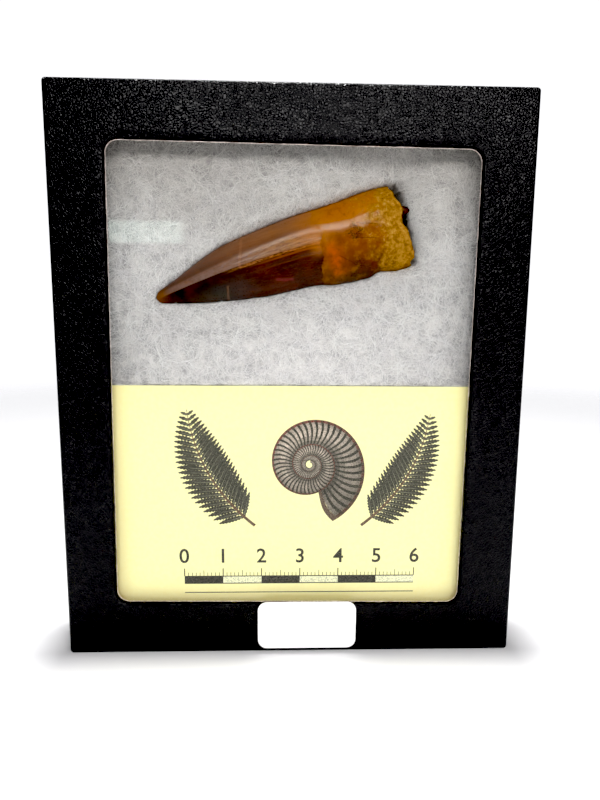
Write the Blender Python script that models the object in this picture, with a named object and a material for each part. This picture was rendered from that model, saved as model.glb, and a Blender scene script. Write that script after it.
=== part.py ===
"""A fossil tooth in a shallow display case, at real size.

The case stands upright on its lower wall with its window facing -Y. A black board lid with a
window holds a glass pane. Behind the pane, white wadding fills a board tray and presses the tooth
and a printed card forward. A small label is stuck on the lid's lower border.

Axes: +X to the right seen from the front, +Y to the back, +Z up, in metres. The origin is on the
standing surface, under the middle of the whole object.
"""

import math

import bmesh
import bpy
from mathutils import Vector, geometry, noise

MM = 0.001

# Case
CASE_WIDTH = 114.3 * MM
CASE_HEIGHT = 139.7 * MM
CASE_DEPTH = 19.05 * MM
CASE_CORNER = 0.9 * MM
BOARD = 1.3 * MM
FOLD_RADIUS = 0.7 * MM
TRAY_CLEARANCE = 0.4 * MM
TOUCH_GAP = 0.3 * MM

# Window, punched about half a degree out of square with the lid
WINDOW_WIDTH = 88.0 * MM
WINDOW_HEIGHT = 112.9 * MM
WINDOW_CORNER = 3.0 * MM
WINDOW_SHIFT = -0.15 * MM
WINDOW_TURN = math.radians(-0.52)

# Flat pieces
GLASS = 1.8 * MM
GLASS_ARRIS = 0.2 * MM
CARD = 0.3 * MM
CARD_TOP = 69.5 * MM
LABEL_WIDTH = 25.4 * MM
LABEL_HEIGHT = 12.7 * MM
LABEL_THICKNESS = 0.2 * MM
LABEL_CORNER = 2.4 * MM
LABEL_X = 4.05 * MM
LABEL_BOTTOM = 1.2 * MM

# Depths, from the front of the lid to the back of the tray
LABEL_STAND = TOUCH_GAP + LABEL_THICKNESS
CASE_FRONT = (LABEL_STAND - CASE_DEPTH) / 2
CASE_BACK = CASE_FRONT + CASE_DEPTH
GLASS_FRONT = CASE_FRONT + BOARD + TOUCH_GAP
FILL_FRONT = GLASS_FRONT + GLASS + TOUCH_GAP
TRAY_FLOOR = CASE_BACK - BOARD
FILL_BACK = TRAY_FLOOR - TOUCH_GAP

# Outlines of the nested pieces
POCKET_WIDTH = CASE_WIDTH - 2 * BOARD
POCKET_HEIGHT = CASE_HEIGHT - 2 * BOARD
GLASS_WIDTH = POCKET_WIDTH - 2 * TOUCH_GAP
GLASS_HEIGHT = POCKET_HEIGHT - 2 * TOUCH_GAP
TRAY_WIDTH = POCKET_WIDTH - 2 * TRAY_CLEARANCE
TRAY_HEIGHT = POCKET_HEIGHT - 2 * TRAY_CLEARANCE
FILL_WIDTH = TRAY_WIDTH - 2 * (BOARD + TOUCH_GAP)
FILL_HEIGHT = TRAY_HEIGHT - 2 * (BOARD + TOUCH_GAP)
FILL_BOTTOM = (CASE_HEIGHT - FILL_HEIGHT) / 2

# Tooth, in its own axes: along from tip to base, across from lower to upper edge
TOOTH_LENGTH = 64.8 * MM
TOOTH_TIP_X = -33.8 * MM
TOOTH_TIP_Z = 90.9 * MM
TOOTH_TILT = math.radians(16.4)
TIP_ROUNDING = 1.4 * MM
CROWN_LENGTH = 41.6 * MM
UPPER_EDGE = (
    (0.0, 1.1), (6.0, 3.2), (11.5, 5.45), (17.0, 7.35), (22.0, 8.35),
    (32.0, 9.5), (37.0, 9.95), (47.0, 10.3), (58.0, 11.0), (64.8, 10.7),
)
LOWER_EDGE = (
    (0.0, -1.2), (6.3, -3.05), (14.0, -4.95), (20.0, -6.05), (27.0, -7.1), (40.0, -8.0),
    (43.0, -9.0), (52.6, -9.7), (55.0, -9.0), (60.0, -9.9), (64.8, -9.7),
)
HALF_THICKNESS = (
    (0.0, 0.95), (6.0, 2.25), (14.0, 3.6), (22.0, 4.75), (32.0, 5.5), (42.0, 5.85), (64.8, 6.05),
)
CREST = ((0.0, 0.0), (14.0, 0.05), (42.0, 0.3), (50.0, 0.1), (64.8, 0.0))
DEPTH_OF_AXIS = ((0.0, 3.8), (10.0, 4.8), (20.0, 5.6), (35.0, 6.15), (64.8, 6.35))
SIDE_ROUNDNESS = 2.1
FLUTES_PER_SIDE = 16
FLUTE_HEIGHT = 0.2 * MM
FLUTES_FROM = 8.0 * MM
FLUTES_FULL = 38.0 * MM
ENAMEL_STEP = 0.12 * MM
ROOT_LUMPS = 0.22 * MM
ROUGH_FROM = 44.0 * MM
ROUGH_FULL = 60.0 * MM
BREAK_FROM = 57.0 * MM
BASE_JAGS = 1.3 * MM
BASE_PITS = 0.8 * MM
UPPER_HALF_LOSS = 0.8 * MM
UPPER_CORNER_LOSS = 0.5 * MM
LOWER_CORNER_LOSS = 1.5 * MM
PULP_DEPTH = 2.2 * MM
SPUR_HEIGHT = 3.6 * MM
SPUR_ACROSS = 3.3 * MM
SPUR_FORWARD = 1.0 * MM
SPUR_RADIUS = 1.3 * MM

# Bed of the tooth in the wadding: a trough under the tooth and a soft shoulder round it
BED_MARGIN = 0.7 * MM
BED_AT_BASE = 2.4 * MM
BED_END_SLOPE = 0.6 * MM
BED_END_NARROWING = 0.85
CARD_TUCK_START = 0.3 * MM
CARD_TUCK_END = 1.4 * MM
SHOULDER_DEPTH = 3.0 * MM
SHOULDER_WIDTH = 6.0 * MM
WADDING_CELL = 9.0 * MM

# Mesh density
CORNER_STEPS = 5
TOOTH_STATIONS = 36
TOOTH_LINES_PER_SIDE = 2 * FLUTES_PER_SIDE


def smooth_step(low, high, value):
    """Rises from 0 at low to 1 at high."""
    share = min(max((value - low) / (high - low), 0.0), 1.0)
    return share * share * (3.0 - 2.0 * share)


def read_curve(points, place):
    """A smooth curve through points in millimetres, read at a place in metres, in millimetres."""
    x = place / MM
    last = len(points) - 1
    index = 0
    while index < last - 1 and x > points[index + 1][0]:
        index += 1
    x0, y0 = points[index]
    x1, y1 = points[index + 1]
    share = min(max((x - x0) / (x1 - x0), 0.0), 1.0)
    before = points[max(index - 1, 0)]
    after = points[min(index + 2, last)]
    slope0 = (y1 - before[1]) / (x1 - before[0])
    slope1 = (after[1] - y0) / (after[0] - x0)
    width = x1 - x0
    square = share * share
    cube = square * share
    return (
        (2 * cube - 3 * square + 1) * y0
        + (cube - 2 * square + share) * width * slope0
        + (3 * square - 2 * cube) * y1
        + (cube - square) * width * slope1
    )


def make_material(name, colour, roughness, transmission=0.0):
    """A Principled material of one colour."""
    material = bpy.data.materials.new(name)
    material.use_nodes = True
    material.diffuse_color = (*colour, 1.0)
    shader = material.node_tree.nodes["Principled BSDF"]
    shader.inputs["Base Color"].default_value = (*colour, 1.0)
    shader.inputs["Roughness"].default_value = roughness
    shader.inputs["Metallic"].default_value = 0.0
    shader.inputs["Transmission Weight"].default_value = transmission
    return material


def add_object(name, mesh_data, material, location, case):
    """Makes an object from a bmesh, places it and hangs it under the case's empty."""
    bmesh.ops.recalc_face_normals(mesh_data, faces=mesh_data.faces)
    mesh = bpy.data.meshes.new(name)
    mesh_data.to_mesh(mesh)
    mesh_data.free()
    mesh.materials.append(material)
    piece = bpy.data.objects.new(name, mesh)
    bpy.context.scene.collection.objects.link(piece)
    piece.location = location
    piece.parent = case
    return piece


def rounded_rectangle(width, height, radius):
    """Points (x, z) of a rectangle with round corners, about its own middle."""
    points = []
    corners = ((1, 1, 0.0), (-1, 1, 90.0), (-1, -1, 180.0), (1, -1, 270.0))
    for side_x, side_z, start in corners:
        middle_x = side_x * (width / 2 - radius)
        middle_z = side_z * (height / 2 - radius)
        for step in range(CORNER_STEPS + 1):
            angle = math.radians(start + 90.0 * step / CORNER_STEPS)
            x = middle_x + radius * math.cos(angle)
            z = middle_z + radius * math.sin(angle)
            points.append((x, z))
    return points


def turn_outline(points, angle, shift):
    """Turns an outline about its middle and shifts it sideways."""
    cosine = math.cos(angle)
    sine = math.sin(angle)
    return [(x * cosine - z * sine + shift, x * sine + z * cosine) for x, z in points]


def join_rings(mesh_data, rings, closed):
    """Joins rings of vertices with faces: closed makes a loop of them, otherwise the ends are filled."""
    count = len(rings)
    pairs = count if closed else count - 1
    for index in range(pairs):
        ring = rings[index]
        following = rings[(index + 1) % count]
        size = len(ring)
        for corner in range(size):
            after = (corner + 1) % size
            mesh_data.faces.new((ring[corner], ring[after], following[after], following[corner]))
    if not closed:
        mesh_data.faces.new(rings[0])
        mesh_data.faces.new(rings[-1])


def ring_of(mesh_data, outline, depth):
    """Vertices of one outline at one depth."""
    return [mesh_data.verts.new((x, depth, z)) for x, z in outline]


def case_outline(inset):
    """The lid's outline, moved inwards."""
    radius = max(CASE_CORNER - inset, 0.5 * MM)
    return rounded_rectangle(CASE_WIDTH - 2 * inset, CASE_HEIGHT - 2 * inset, radius)


def build_lid(case):
    """Front frame and four skirt walls: one profile swept round the case."""
    mesh_data = bmesh.new()
    window = rounded_rectangle(WINDOW_WIDTH, WINDOW_HEIGHT, WINDOW_CORNER)
    window = turn_outline(window, WINDOW_TURN, WINDOW_SHIFT)
    rings = [ring_of(mesh_data, window, 0.0)]
    fold_steps = 3
    for step in range(fold_steps + 1):
        angle = math.radians(90.0 * step / fold_steps)
        inset = FOLD_RADIUS * (1.0 - math.sin(angle))
        depth = FOLD_RADIUS * (1.0 - math.cos(angle))
        rings.append(ring_of(mesh_data, case_outline(inset), depth))
    rings.append(ring_of(mesh_data, case_outline(0.0), CASE_DEPTH))
    rings.append(ring_of(mesh_data, case_outline(BOARD), CASE_DEPTH))
    rings.append(ring_of(mesh_data, case_outline(BOARD), BOARD))
    rings.append(ring_of(mesh_data, window, BOARD))
    join_rings(mesh_data, rings, closed=True)
    material = make_material("black_paper", (0.012, 0.012, 0.013), 0.45)
    add_object("lid", mesh_data, material, (0.0, CASE_FRONT, CASE_HEIGHT / 2), case)


def build_glass(case):
    """Flat pane with a small arris round both faces."""
    mesh_data = bmesh.new()
    rings = []
    levels = ((GLASS_ARRIS, 0.0), (0.0, GLASS_ARRIS), (0.0, GLASS - GLASS_ARRIS), (GLASS_ARRIS, GLASS))
    for inset, depth in levels:
        outline = rounded_rectangle(GLASS_WIDTH - 2 * inset, GLASS_HEIGHT - 2 * inset, 0.6 * MM)
        rings.append(ring_of(mesh_data, outline, depth))
    join_rings(mesh_data, rings, closed=False)
    material = make_material("clear_glass", (0.9, 0.95, 0.93), 0.02, transmission=1.0)
    add_object("glass_pane", mesh_data, material, (0.0, GLASS_FRONT, CASE_HEIGHT / 2), case)


def build_sheet(name, width, height, radius, thickness, material, location, case):
    """Flat sheet with its front face at its own y = 0."""
    mesh_data = bmesh.new()
    outline = rounded_rectangle(width, height, radius)
    rings = [ring_of(mesh_data, outline, 0.0), ring_of(mesh_data, outline, thickness)]
    join_rings(mesh_data, rings, closed=False)
    add_object(name, mesh_data, material, location, case)


def build_card(case):
    """Card behind the lower half of the window, standing on the tray's lower wall."""
    height = CARD_TOP - FILL_BOTTOM
    middle = (0.0, FILL_FRONT, FILL_BOTTOM + height / 2)
    material = make_material("cream_card", (0.9, 0.87, 0.58), 0.6)
    build_sheet("info_card", FILL_WIDTH, height, 0.4 * MM, CARD, material, middle, case)


def build_label(case):
    """Label on the lid's lower border."""
    middle = (LABEL_X, CASE_FRONT - LABEL_STAND, LABEL_BOTTOM + LABEL_HEIGHT / 2)
    material = make_material("white_label", (0.85, 0.85, 0.85), 0.5)
    build_sheet(
        "label_sticker", LABEL_WIDTH, LABEL_HEIGHT, LABEL_CORNER, LABEL_THICKNESS, material, middle, case
    )


def build_tray(case):
    """Shallow tray, open to the front, that slides into the lid from behind."""
    mesh_data = bmesh.new()
    inner_width = TRAY_WIDTH - 2 * BOARD
    inner_height = TRAY_HEIGHT - 2 * BOARD
    rim_depth = FILL_FRONT - CASE_BACK
    floor_depth = TRAY_FLOOR - CASE_BACK
    outer = rounded_rectangle(TRAY_WIDTH, TRAY_HEIGHT, 0.8 * MM)
    inner = rounded_rectangle(inner_width, inner_height, 0.5 * MM)
    rings = [
        ring_of(mesh_data, outer, 0.0),
        ring_of(mesh_data, outer, rim_depth),
        ring_of(mesh_data, inner, rim_depth),
        ring_of(mesh_data, inner, floor_depth),
    ]
    join_rings(mesh_data, rings, closed=False)
    material = make_material("tray_paper", (0.016, 0.016, 0.017), 0.6)
    add_object("base_tray", mesh_data, material, (0.0, CASE_BACK, CASE_HEIGHT / 2), case)


def tooth_section(along):
    """Middle, half height and half thickness of the tooth's section, in metres."""
    upper = read_curve(UPPER_EDGE, along) * MM
    lower = read_curve(LOWER_EDGE, along) * MM
    rounding = 1.0 - min(max(along / TIP_ROUNDING, 0.0), 1.0)
    shrink = math.sqrt(1.0 - rounding * rounding)
    half_height = (upper - lower) / 2 * shrink
    half_thickness = read_curve(HALF_THICKNESS, along) * MM * shrink
    return (upper + lower) / 2 * shrink, half_height, half_thickness


def enamel_edge(across_share):
    """Place along the tooth where the enamel ends: it bows towards the base on the side."""
    bow = 1.0 - across_share * across_share
    return CROWN_LENGTH + (0.9 * bow + 0.9 * across_share) * MM


def tooth_point(along, line):
    """Point of the tooth's skin: line runs 0 to 2 round the section, 0 at the upper edge."""
    front = line <= 1.0
    sweep = 1.0 - 2.0 * line if front else 2.0 * line - 3.0
    share = sweep * (1.5 - 0.5 * sweep * sweep)
    middle, half_height, half_thickness = tooth_section(along)
    crest = read_curve(CREST, along) if front else 0.0
    side = (share - crest) / (1.0 - crest) if share > crest else (crest - share) / (1.0 + crest)
    bulge = max(1.0 - abs(side) ** SIDE_ROUNDNESS, 0.0) ** 0.5

    edge = enamel_edge(share)
    crown = 1.0 - smooth_step(edge - 0.4 * MM, edge + 0.5 * MM, along)
    strength = smooth_step(FLUTES_FROM, FLUTES_FULL, along) * crown
    fluted = smooth_step(0.62, 0.45, share) if front else smooth_step(0.8, 0.6, abs(share))
    flute = math.cos(math.pi * FLUTES_PER_SIDE * sweep) * FLUTE_HEIGHT * strength * fluted

    across = middle + share * half_height
    thickness = (half_thickness + flute) * bulge
    depth = -thickness if front else thickness

    root = smooth_step(edge, edge + 1.2 * MM, along)
    rough = smooth_step(ROUGH_FROM, ROUGH_FULL, along)
    spot = Vector((along, across, depth))
    grain = noise.noise(spot * 260.0)
    grain += 0.6 * noise.noise(spot * 620.0) * rough
    swell = ROOT_LUMPS * grain * root * (0.35 + 0.65 * rough) - ENAMEL_STEP * root
    reach = max(math.hypot(across - middle, depth), 0.1 * MM)
    across += swell * (across - middle) / reach
    depth += swell * depth / reach

    break_share = smooth_step(BREAK_FROM, TOOTH_LENGTH, along)
    jag = noise.noise(Vector((across * 210.0, depth * 210.0, 4.7))) * BASE_JAGS
    jag -= smooth_step(-0.1, 0.25, share) * UPPER_HALF_LOSS
    jag -= smooth_step(0.8, 1.0, share) * UPPER_CORNER_LOSS
    jag -= smooth_step(-0.75, -1.0, share) * LOWER_CORNER_LOSS
    axis_depth = read_curve(DEPTH_OF_AXIS, along) * MM
    return Vector((along + jag * break_share, axis_depth + depth, across))


def tooth_base_rings(mesh_data, rim, centre):
    """Rings of the broken base: a wall, then the filled pulp cavity with a spur of matrix."""
    rings = []
    for share in (0.9, 0.78, 0.6, 0.38, 0.16):
        ring = []
        for corner in rim:
            place = centre.lerp(corner.co, share)
            drop = PULP_DEPTH * smooth_step(0.92, 0.5, share)
            drop += BASE_PITS * noise.noise(place * 330.0)
            from_spur = math.hypot(place.z - SPUR_ACROSS, place.y - centre.y + SPUR_FORWARD)
            spur = SPUR_HEIGHT * math.exp(-((from_spur / SPUR_RADIUS) ** 2))
            place.x += spur - drop
            ring.append(mesh_data.verts.new(place))
        rings.append(ring)
    return rings


def build_tooth(case):
    """Crown and root in one closed skin, from the round tip to the broken base."""
    mesh_data = bmesh.new()
    first = 1.2 * MM
    stations = [0.08 * MM, 0.32 * MM, 0.7 * MM]
    for step in range(TOOTH_STATIONS + 1):
        stations.append(first + (TOOTH_LENGTH - first) * step / TOOTH_STATIONS)
    lines = 2 * TOOTH_LINES_PER_SIDE
    rings = []
    for along in stations:
        points = [tooth_point(along, 2.0 * line / lines) for line in range(lines)]
        rings.append([mesh_data.verts.new(point) for point in points])
    rim = rings[-1]
    centre = sum((corner.co for corner in rim), Vector()) / lines
    rings.extend(tooth_base_rings(mesh_data, rim, centre))
    join_rings(mesh_data, rings, closed=False)
    material = make_material("fossil", (0.3, 0.09, 0.025), 0.3)
    place = (TOOTH_TIP_X, FILL_FRONT, TOOTH_TIP_Z)
    tooth = add_object("tooth", mesh_data, material, place, case)
    tooth.rotation_euler = (0.0, -TOOTH_TILT, 0.0)
    tooth.data.shade_smooth()
    tooth.data.set_sharp_from_angle(angle=math.radians(30.0))


def to_case(along, across):
    """A point of the tooth's own axes as (x, z) of the case."""
    x = TOOTH_TIP_X + along * math.cos(TOOTH_TILT) - across * math.sin(TOOTH_TILT)
    z = TOOTH_TIP_Z + along * math.sin(TOOTH_TILT) + across * math.cos(TOOTH_TILT)
    return x, z


def bed_stations():
    """Places along the tooth where the bed is drawn, closer together near the tip."""
    steps = 18
    first = 0.5 * MM
    return [first + (TOOTH_LENGTH - first) * (step / steps) ** 1.25 for step in range(steps + 1)]


def bed_ring(share, spread):
    """Ring round the tooth: share of its half height inside the bed, or spread outside it."""
    at_tip = -BED_MARGIN * share - spread
    at_base = TOOTH_LENGTH + BED_AT_BASE - BED_END_SLOPE * (1.0 - share) + spread
    upper = []
    lower = []
    for along in [at_tip, *bed_stations(), at_base]:
        inside = min(max(along, 0.0), TOOTH_LENGTH)
        middle, half_height, half_thickness = tooth_section(inside)
        narrow = BED_END_NARROWING if along in (at_tip, at_base) else 1.0
        reach = (half_height + BED_MARGIN) * share * narrow + spread * narrow ** 4
        waist = read_curve(DEPTH_OF_AXIS, inside) * MM + TOUCH_GAP
        hollow = (half_thickness + BED_MARGIN) * math.sqrt(1.0 - share * share)
        depth = waist + hollow
        if spread > 0.0:
            depth = SHOULDER_DEPTH * (1.0 - smooth_step(0.0, SHOULDER_WIDTH, spread))
        upper.append((*to_case(along, middle + reach), depth))
        lower.append((*to_case(along, middle - reach), depth))
    return upper + lower[::-1]


def wadding_points():
    """Points (x, z, depth) of the wadding's front and the edges that its mesh keeps."""
    points = []
    edges = []

    def add_line(line, closed):
        first = len(points)
        points.extend(line)
        count = len(line)
        edges.extend((first + index, first + index + 1) for index in range(count - 1))
        if closed:
            edges.append((first + count - 1, first))

    columns = round(FILL_WIDTH / WADDING_CELL)
    across = [FILL_WIDTH * (column / columns - 0.5) for column in range(columns + 1)]
    top = FILL_BOTTOM + FILL_HEIGHT
    behind_card = CARD + TOUCH_GAP
    levels = (
        (FILL_BOTTOM, behind_card),
        (CARD_TOP + CARD_TUCK_START, behind_card),
        (CARD_TOP + CARD_TUCK_END, 0.0),
        (top, 0.0),
    )
    for z, depth in levels:
        add_line([(x, z, depth) for x in across], closed=False)
    for side in (across[0], across[-1]):
        add_line([(side, z, depth) for z, depth in levels], closed=False)
    for angle in (68.0, 45.0, 22.0, 0.0):
        add_line(bed_ring(math.cos(math.radians(angle)), 0.0), closed=True)
    for share in (0.07, 0.25, 0.5, 0.75, 1.0):
        add_line(bed_ring(1.0, SHOULDER_WIDTH * share), closed=True)
    return points, edges


def build_wadding(case):
    """Wadding: flat behind the card, and above it a soft surface with a bed for the tooth."""
    points, edges = wadding_points()
    flat = [Vector((x, z)) for x, z, _ in points]
    corners, _, faces, sources, _, _ = geometry.delaunay_2d_cdt(flat, edges, [], 0, 0.01 * MM)
    mesh_data = bmesh.new()
    front = []
    for corner, source in zip(corners, sources):
        front.append(mesh_data.verts.new((corner.x, points[source[0]][2], corner.y)))
    for face in faces:
        mesh_data.faces.new([front[index] for index in face])
    border = [edge for edge in mesh_data.edges if edge.is_boundary]
    made = bmesh.ops.extrude_edge_only(mesh_data, edges=border)["geom"]
    behind = [item for item in made if isinstance(item, bmesh.types.BMVert)]
    for corner in behind:
        corner.co.y = FILL_BACK - FILL_FRONT
    rim = [edge for edge in mesh_data.edges if edge.is_boundary]
    bmesh.ops.edgeloop_fill(mesh_data, edges=rim)
    material = make_material("white_wadding", (0.78, 0.78, 0.8), 0.95)
    add_object("batting", mesh_data, material, (0.0, FILL_FRONT, 0.0), case)


def build_all():
    """Clears the scene and builds every piece of the boxed tooth."""
    for old in list(bpy.data.objects):
        bpy.data.objects.remove(old, do_unlink=True)
    case = bpy.data.objects.new("boxed_tooth", None)
    bpy.context.scene.collection.objects.link(case)
    build_lid(case)
    build_glass(case)
    build_card(case)
    build_label(case)
    build_tray(case)
    build_wadding(case)
    build_tooth(case)


build_all()
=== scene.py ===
"""Looks of the boxed fossil tooth.

A black, leather-grain board case with a glass window holds a fluted tooth on white wadding, over
a printed cream card. Axes as in the frame: +X to the right, +Y to the back, +Z up, in metres.
"""

import math

import bmesh
import bpy
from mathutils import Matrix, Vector, geometry, kdtree, noise


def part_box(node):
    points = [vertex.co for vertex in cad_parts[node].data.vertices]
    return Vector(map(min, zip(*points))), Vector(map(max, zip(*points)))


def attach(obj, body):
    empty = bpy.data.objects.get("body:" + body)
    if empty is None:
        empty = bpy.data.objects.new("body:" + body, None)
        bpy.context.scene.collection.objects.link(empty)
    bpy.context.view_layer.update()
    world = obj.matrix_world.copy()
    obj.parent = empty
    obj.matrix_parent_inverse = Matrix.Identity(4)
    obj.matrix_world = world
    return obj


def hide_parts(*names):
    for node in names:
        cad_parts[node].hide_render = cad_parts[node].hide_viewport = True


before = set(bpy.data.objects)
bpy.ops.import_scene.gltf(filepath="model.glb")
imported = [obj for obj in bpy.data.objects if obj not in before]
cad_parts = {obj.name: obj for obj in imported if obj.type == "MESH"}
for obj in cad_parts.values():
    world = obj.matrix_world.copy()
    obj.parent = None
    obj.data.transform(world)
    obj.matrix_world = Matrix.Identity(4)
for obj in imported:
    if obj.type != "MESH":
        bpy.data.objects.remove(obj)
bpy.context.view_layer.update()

MM = 0.001
SEED = 7
FILL_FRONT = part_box("batting")[0].y

# Camera and light, in the frame's metres
CAMERA_PLACE = (-0.0026, -0.14664, 0.08567)
CAMERA_TURN = (82.03, -0.46, -1.77)
CAMERA_LENS = 25.43
SOFT_BOX_Y = -0.61
SOFT_BOX_CORNERS = ((-0.4, 0.002), (0.45, 0.002), (0.45, 0.45), (-0.4, 0.45))
FADE_FROM = 0.25
FADE_TO = 0.8
WARM_WHITE = (1.0, 0.985, 0.98)

# Each light: name, place, target, width, height, power, colour, and whether gloss shows it
LIGHTS = (
    ("key", (0.05, -0.5, 0.37), (0.0, 0.0, 0.09), 0.5, 0.18, 2.5, WARM_WHITE),
    ("front_fill", (0.02, -0.58, 0.08), (0.0, 0.0, 0.07), 0.3, 0.3, 0.2, WARM_WHITE, False),
    ("overhead", (0.0, 0.04, 1.0), (0.0, 0.04, 0.0), 0.1, 0.1, 11.0, (1.0, 1.0, 1.0)),
    ("left_fill", (-0.55, -0.45, 0.14), (0.0, 0.0, 0.07), 0.26, 0.26, 0.4, (0.96, 0.96, 1.0)),
    ("right_fill", (0.55, -0.45, 0.14), (0.0, 0.0, 0.07), 0.26, 0.26, 0.5, (1.0, 0.98, 0.96)),
)

# Finishes
GRAIN_SCALE = 1600.0
FINE_GRAIN_SCALE = 3300.0
GRAIN_WARP = 0.0011
GLASS_IOR = 1.42
# Heights over which painted shade darkens the wadding towards the top
TOP_SHADE_FROM = 0.094
TOP_SHADE_FULL = 0.13

# Lid
CASE_CORNER = 0.9 * MM
BOARD = 1.3 * MM
FOLD_RADIUS = 0.7 * MM
WINDOW_WIDTH = 88.0 * MM
WINDOW_HEIGHT = 112.9 * MM
WINDOW_CORNER = 3.0 * MM
WINDOW_SHIFT = -0.15 * MM
WINDOW_TURN = math.radians(-0.52)
PAPER_ROLL = 0.75 * MM
PAPER_STAND = 0.06 * MM
PAPER_END = 0.92 * MM
CUT_MIDDLE = 1.1 * MM
CUT_RAGGEDNESS = 0.1 * MM
PAPER_PUFF = 0.1 * MM
WALL_PUFF = 0.06 * MM
RIM_ROUNDING = 0.3 * MM

# Steps of an outline's corner and of its side
LID_STEPS = (8, 96)
TRAY_STEPS = (6, 60)

# Tray and label
TRAY_FOLD = 0.6 * MM
TRAY_CORNER = 0.8 * MM
TRAY_PLAY = 0.3 * MM
LABEL_CORNER = 2.4 * MM

# Tooth, in its own axes: along from tip to base, across from lower to upper edge
TOOTH_LENGTH = 64.8 * MM
TOOTH_TIP_X = -33.8 * MM
TOOTH_TIP_Z = 90.9 * MM
TOOTH_TILT = math.radians(16.4)
TIP_ROUNDING = 1.4 * MM
CROWN_LENGTH = 41.6 * MM
UPPER_EDGE = (
    (0.0, 1.1), (6.0, 3.2), (11.5, 5.45), (17.0, 7.35), (22.0, 8.35),
    (32.0, 9.5), (37.0, 9.95), (47.0, 10.3), (58.0, 11.0), (64.8, 10.7),
)
LOWER_EDGE = (
    (0.0, -1.2), (6.3, -3.05), (14.0, -4.95), (20.0, -6.05), (27.0, -7.1), (40.0, -8.0),
    (43.0, -9.0), (52.6, -9.7), (55.0, -9.0), (60.0, -9.9), (64.8, -9.7),
)
HALF_THICKNESS = (
    (0.0, 0.95), (6.0, 2.25), (14.0, 3.6), (22.0, 4.75), (32.0, 5.5), (42.0, 5.85), (64.8, 6.05),
)
CREST = ((0.0, 0.0), (14.0, 0.05), (42.0, 0.3), (50.0, 0.1), (64.8, 0.0))
DEPTH_OF_AXIS = ((0.0, 3.8), (10.0, 4.8), (20.0, 5.6), (35.0, 6.15), (64.8, 6.35))
SIDE_ROUNDNESS = 2.1
FLUTES_PER_SIDE = 16
FLUTE_HEIGHT = 0.15 * MM
FLUTES_FROM = 12.0 * MM
FLUTES_FULL = 38.0 * MM
ENAMEL_STEP = 0.12 * MM
ROOT_LUMPS = 0.22 * MM
ROUGH_FROM = 44.0 * MM
ROUGH_FULL = 60.0 * MM
BREAK_FROM = 57.0 * MM
BASE_JAGS = 1.3 * MM
BASE_PITS = 0.8 * MM
UPPER_HALF_LOSS = 1.5 * MM
UPPER_CORNER_LOSS = 0.5 * MM
LOWER_CORNER_LOSS = 1.5 * MM
PULP_DEPTH = 2.2 * MM
SPUR_HEIGHT = 3.6 * MM
SPUR_ACROSS = 3.3 * MM
SPUR_FORWARD = 2.5 * MM
SPUR_RADIUS = 2.0 * MM
TOOTH_STATIONS = 250
TOOTH_LINES = 240
TOOTH_MARKS = ("along", "across", "share", "groove", "past_edge", "inside")

# Thin marks on the tooth, in mm: start and end as (along, across), width and how much they wander
LIGHT_CRACKS = (((22.0, 0.8), (24.3, 8.2), 0.5, 0.8), ((17.0, -5.6), (18.2, -1.8), 0.4, 0.8))
ROSY_MARKS = (((29.4, -3.6), (34.2, -5.0), 0.5, 0.6),)
ROOT_CRACKS = (
    ((49.6, 0.9), (56.4, -0.9), 0.16, 0.25), ((49.0, -5.2), (55.0, -8.2), 0.16, 0.3),
    ((46.0, -2.2), (49.8, -5.6), 0.12, 0.25), ((52.0, 4.0), (57.0, 2.2), 0.12, 0.3),
)

# Wadding round the tooth
HUG = 0.15 * MM
CONTACT_SHARE = 0.45
PILLOW_REACH = 1.5 * MM
SHOULDER_DEPTH = 2.5 * MM
SHOULDER_WIDTH = 11.0 * MM
EDGE_DROP = 2.6 * MM
EDGE_WIDTH = 10.0 * MM
WINDOW_TOP = 126.3 * MM
WADDING_CELL = 0.6 * MM
BED_ROOM = 0.4 * MM
LUMP_HEIGHT = 0.16 * MM
FIBRES_ASIDE = 47.5 * MM
FIBRES_TOP = 130.0 * MM
FIBRE_BED_CELL = 0.9 * MM
FIBRE_CURL = 5.0 * MM
FIBRE_LENGTH = 9.0 * MM
FIBRE_RADIUS = 0.03 * MM
FIBRES_PER_LAYER = 2700
FIBRE_LAYERS = 3

# Printed card, in mm; colours as screen values
CARD_COLOUR = (250, 243, 200)
INK = (14, 10, 6)
SCALE_MIDDLE = 2.2
BAR_TOP = 19.6
SHELL_CENTRE = (4.5, 49.3)
SHELL_RADIUS = 16.0
SHELL_TURNS = 3.4
SHELL_GROWTH = 2.15
RIBS_PER_TURN = 44
SMALLEST_SHAPE = 0.0001


def paint(red, green, blue):
    """A colour given as screen values 0 to 255, as the renderer's linear one."""
    linear = []
    for value in (red, green, blue):
        share = value / 255.0
        linear.append(share / 12.92 if share <= 0.04045 else ((share + 0.055) / 1.055) ** 2.4)
    return (*linear, 1.0)


def smooth_step(low, high, value):
    """Rises from 0 at low to 1 at high."""
    share = min(max((value - low) / (high - low), 0.0), 1.0)
    return share * share * (3.0 - 2.0 * share)


def read_curve(points, place):
    """A smooth curve through points in millimetres, read at a place in metres, in millimetres."""
    x = place / MM
    last = len(points) - 1
    index = 0
    while index < last - 1 and x > points[index + 1][0]:
        index += 1
    x0, y0 = points[index]
    x1, y1 = points[index + 1]
    share = min(max((x - x0) / (x1 - x0), 0.0), 1.0)
    before = points[max(index - 1, 0)]
    after = points[min(index + 2, last)]
    slope0 = (y1 - before[1]) / (x1 - before[0])
    slope1 = (after[1] - y0) / (after[0] - x0)
    width = x1 - x0
    square = share * share
    cube = square * share
    return (
        (2 * cube - 3 * square + 1) * y0
        + (cube - 2 * square + share) * width * slope0
        + (3 * square - 2 * cube) * y1
        + (cube - square) * width * slope1
    )


# Materials


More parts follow.
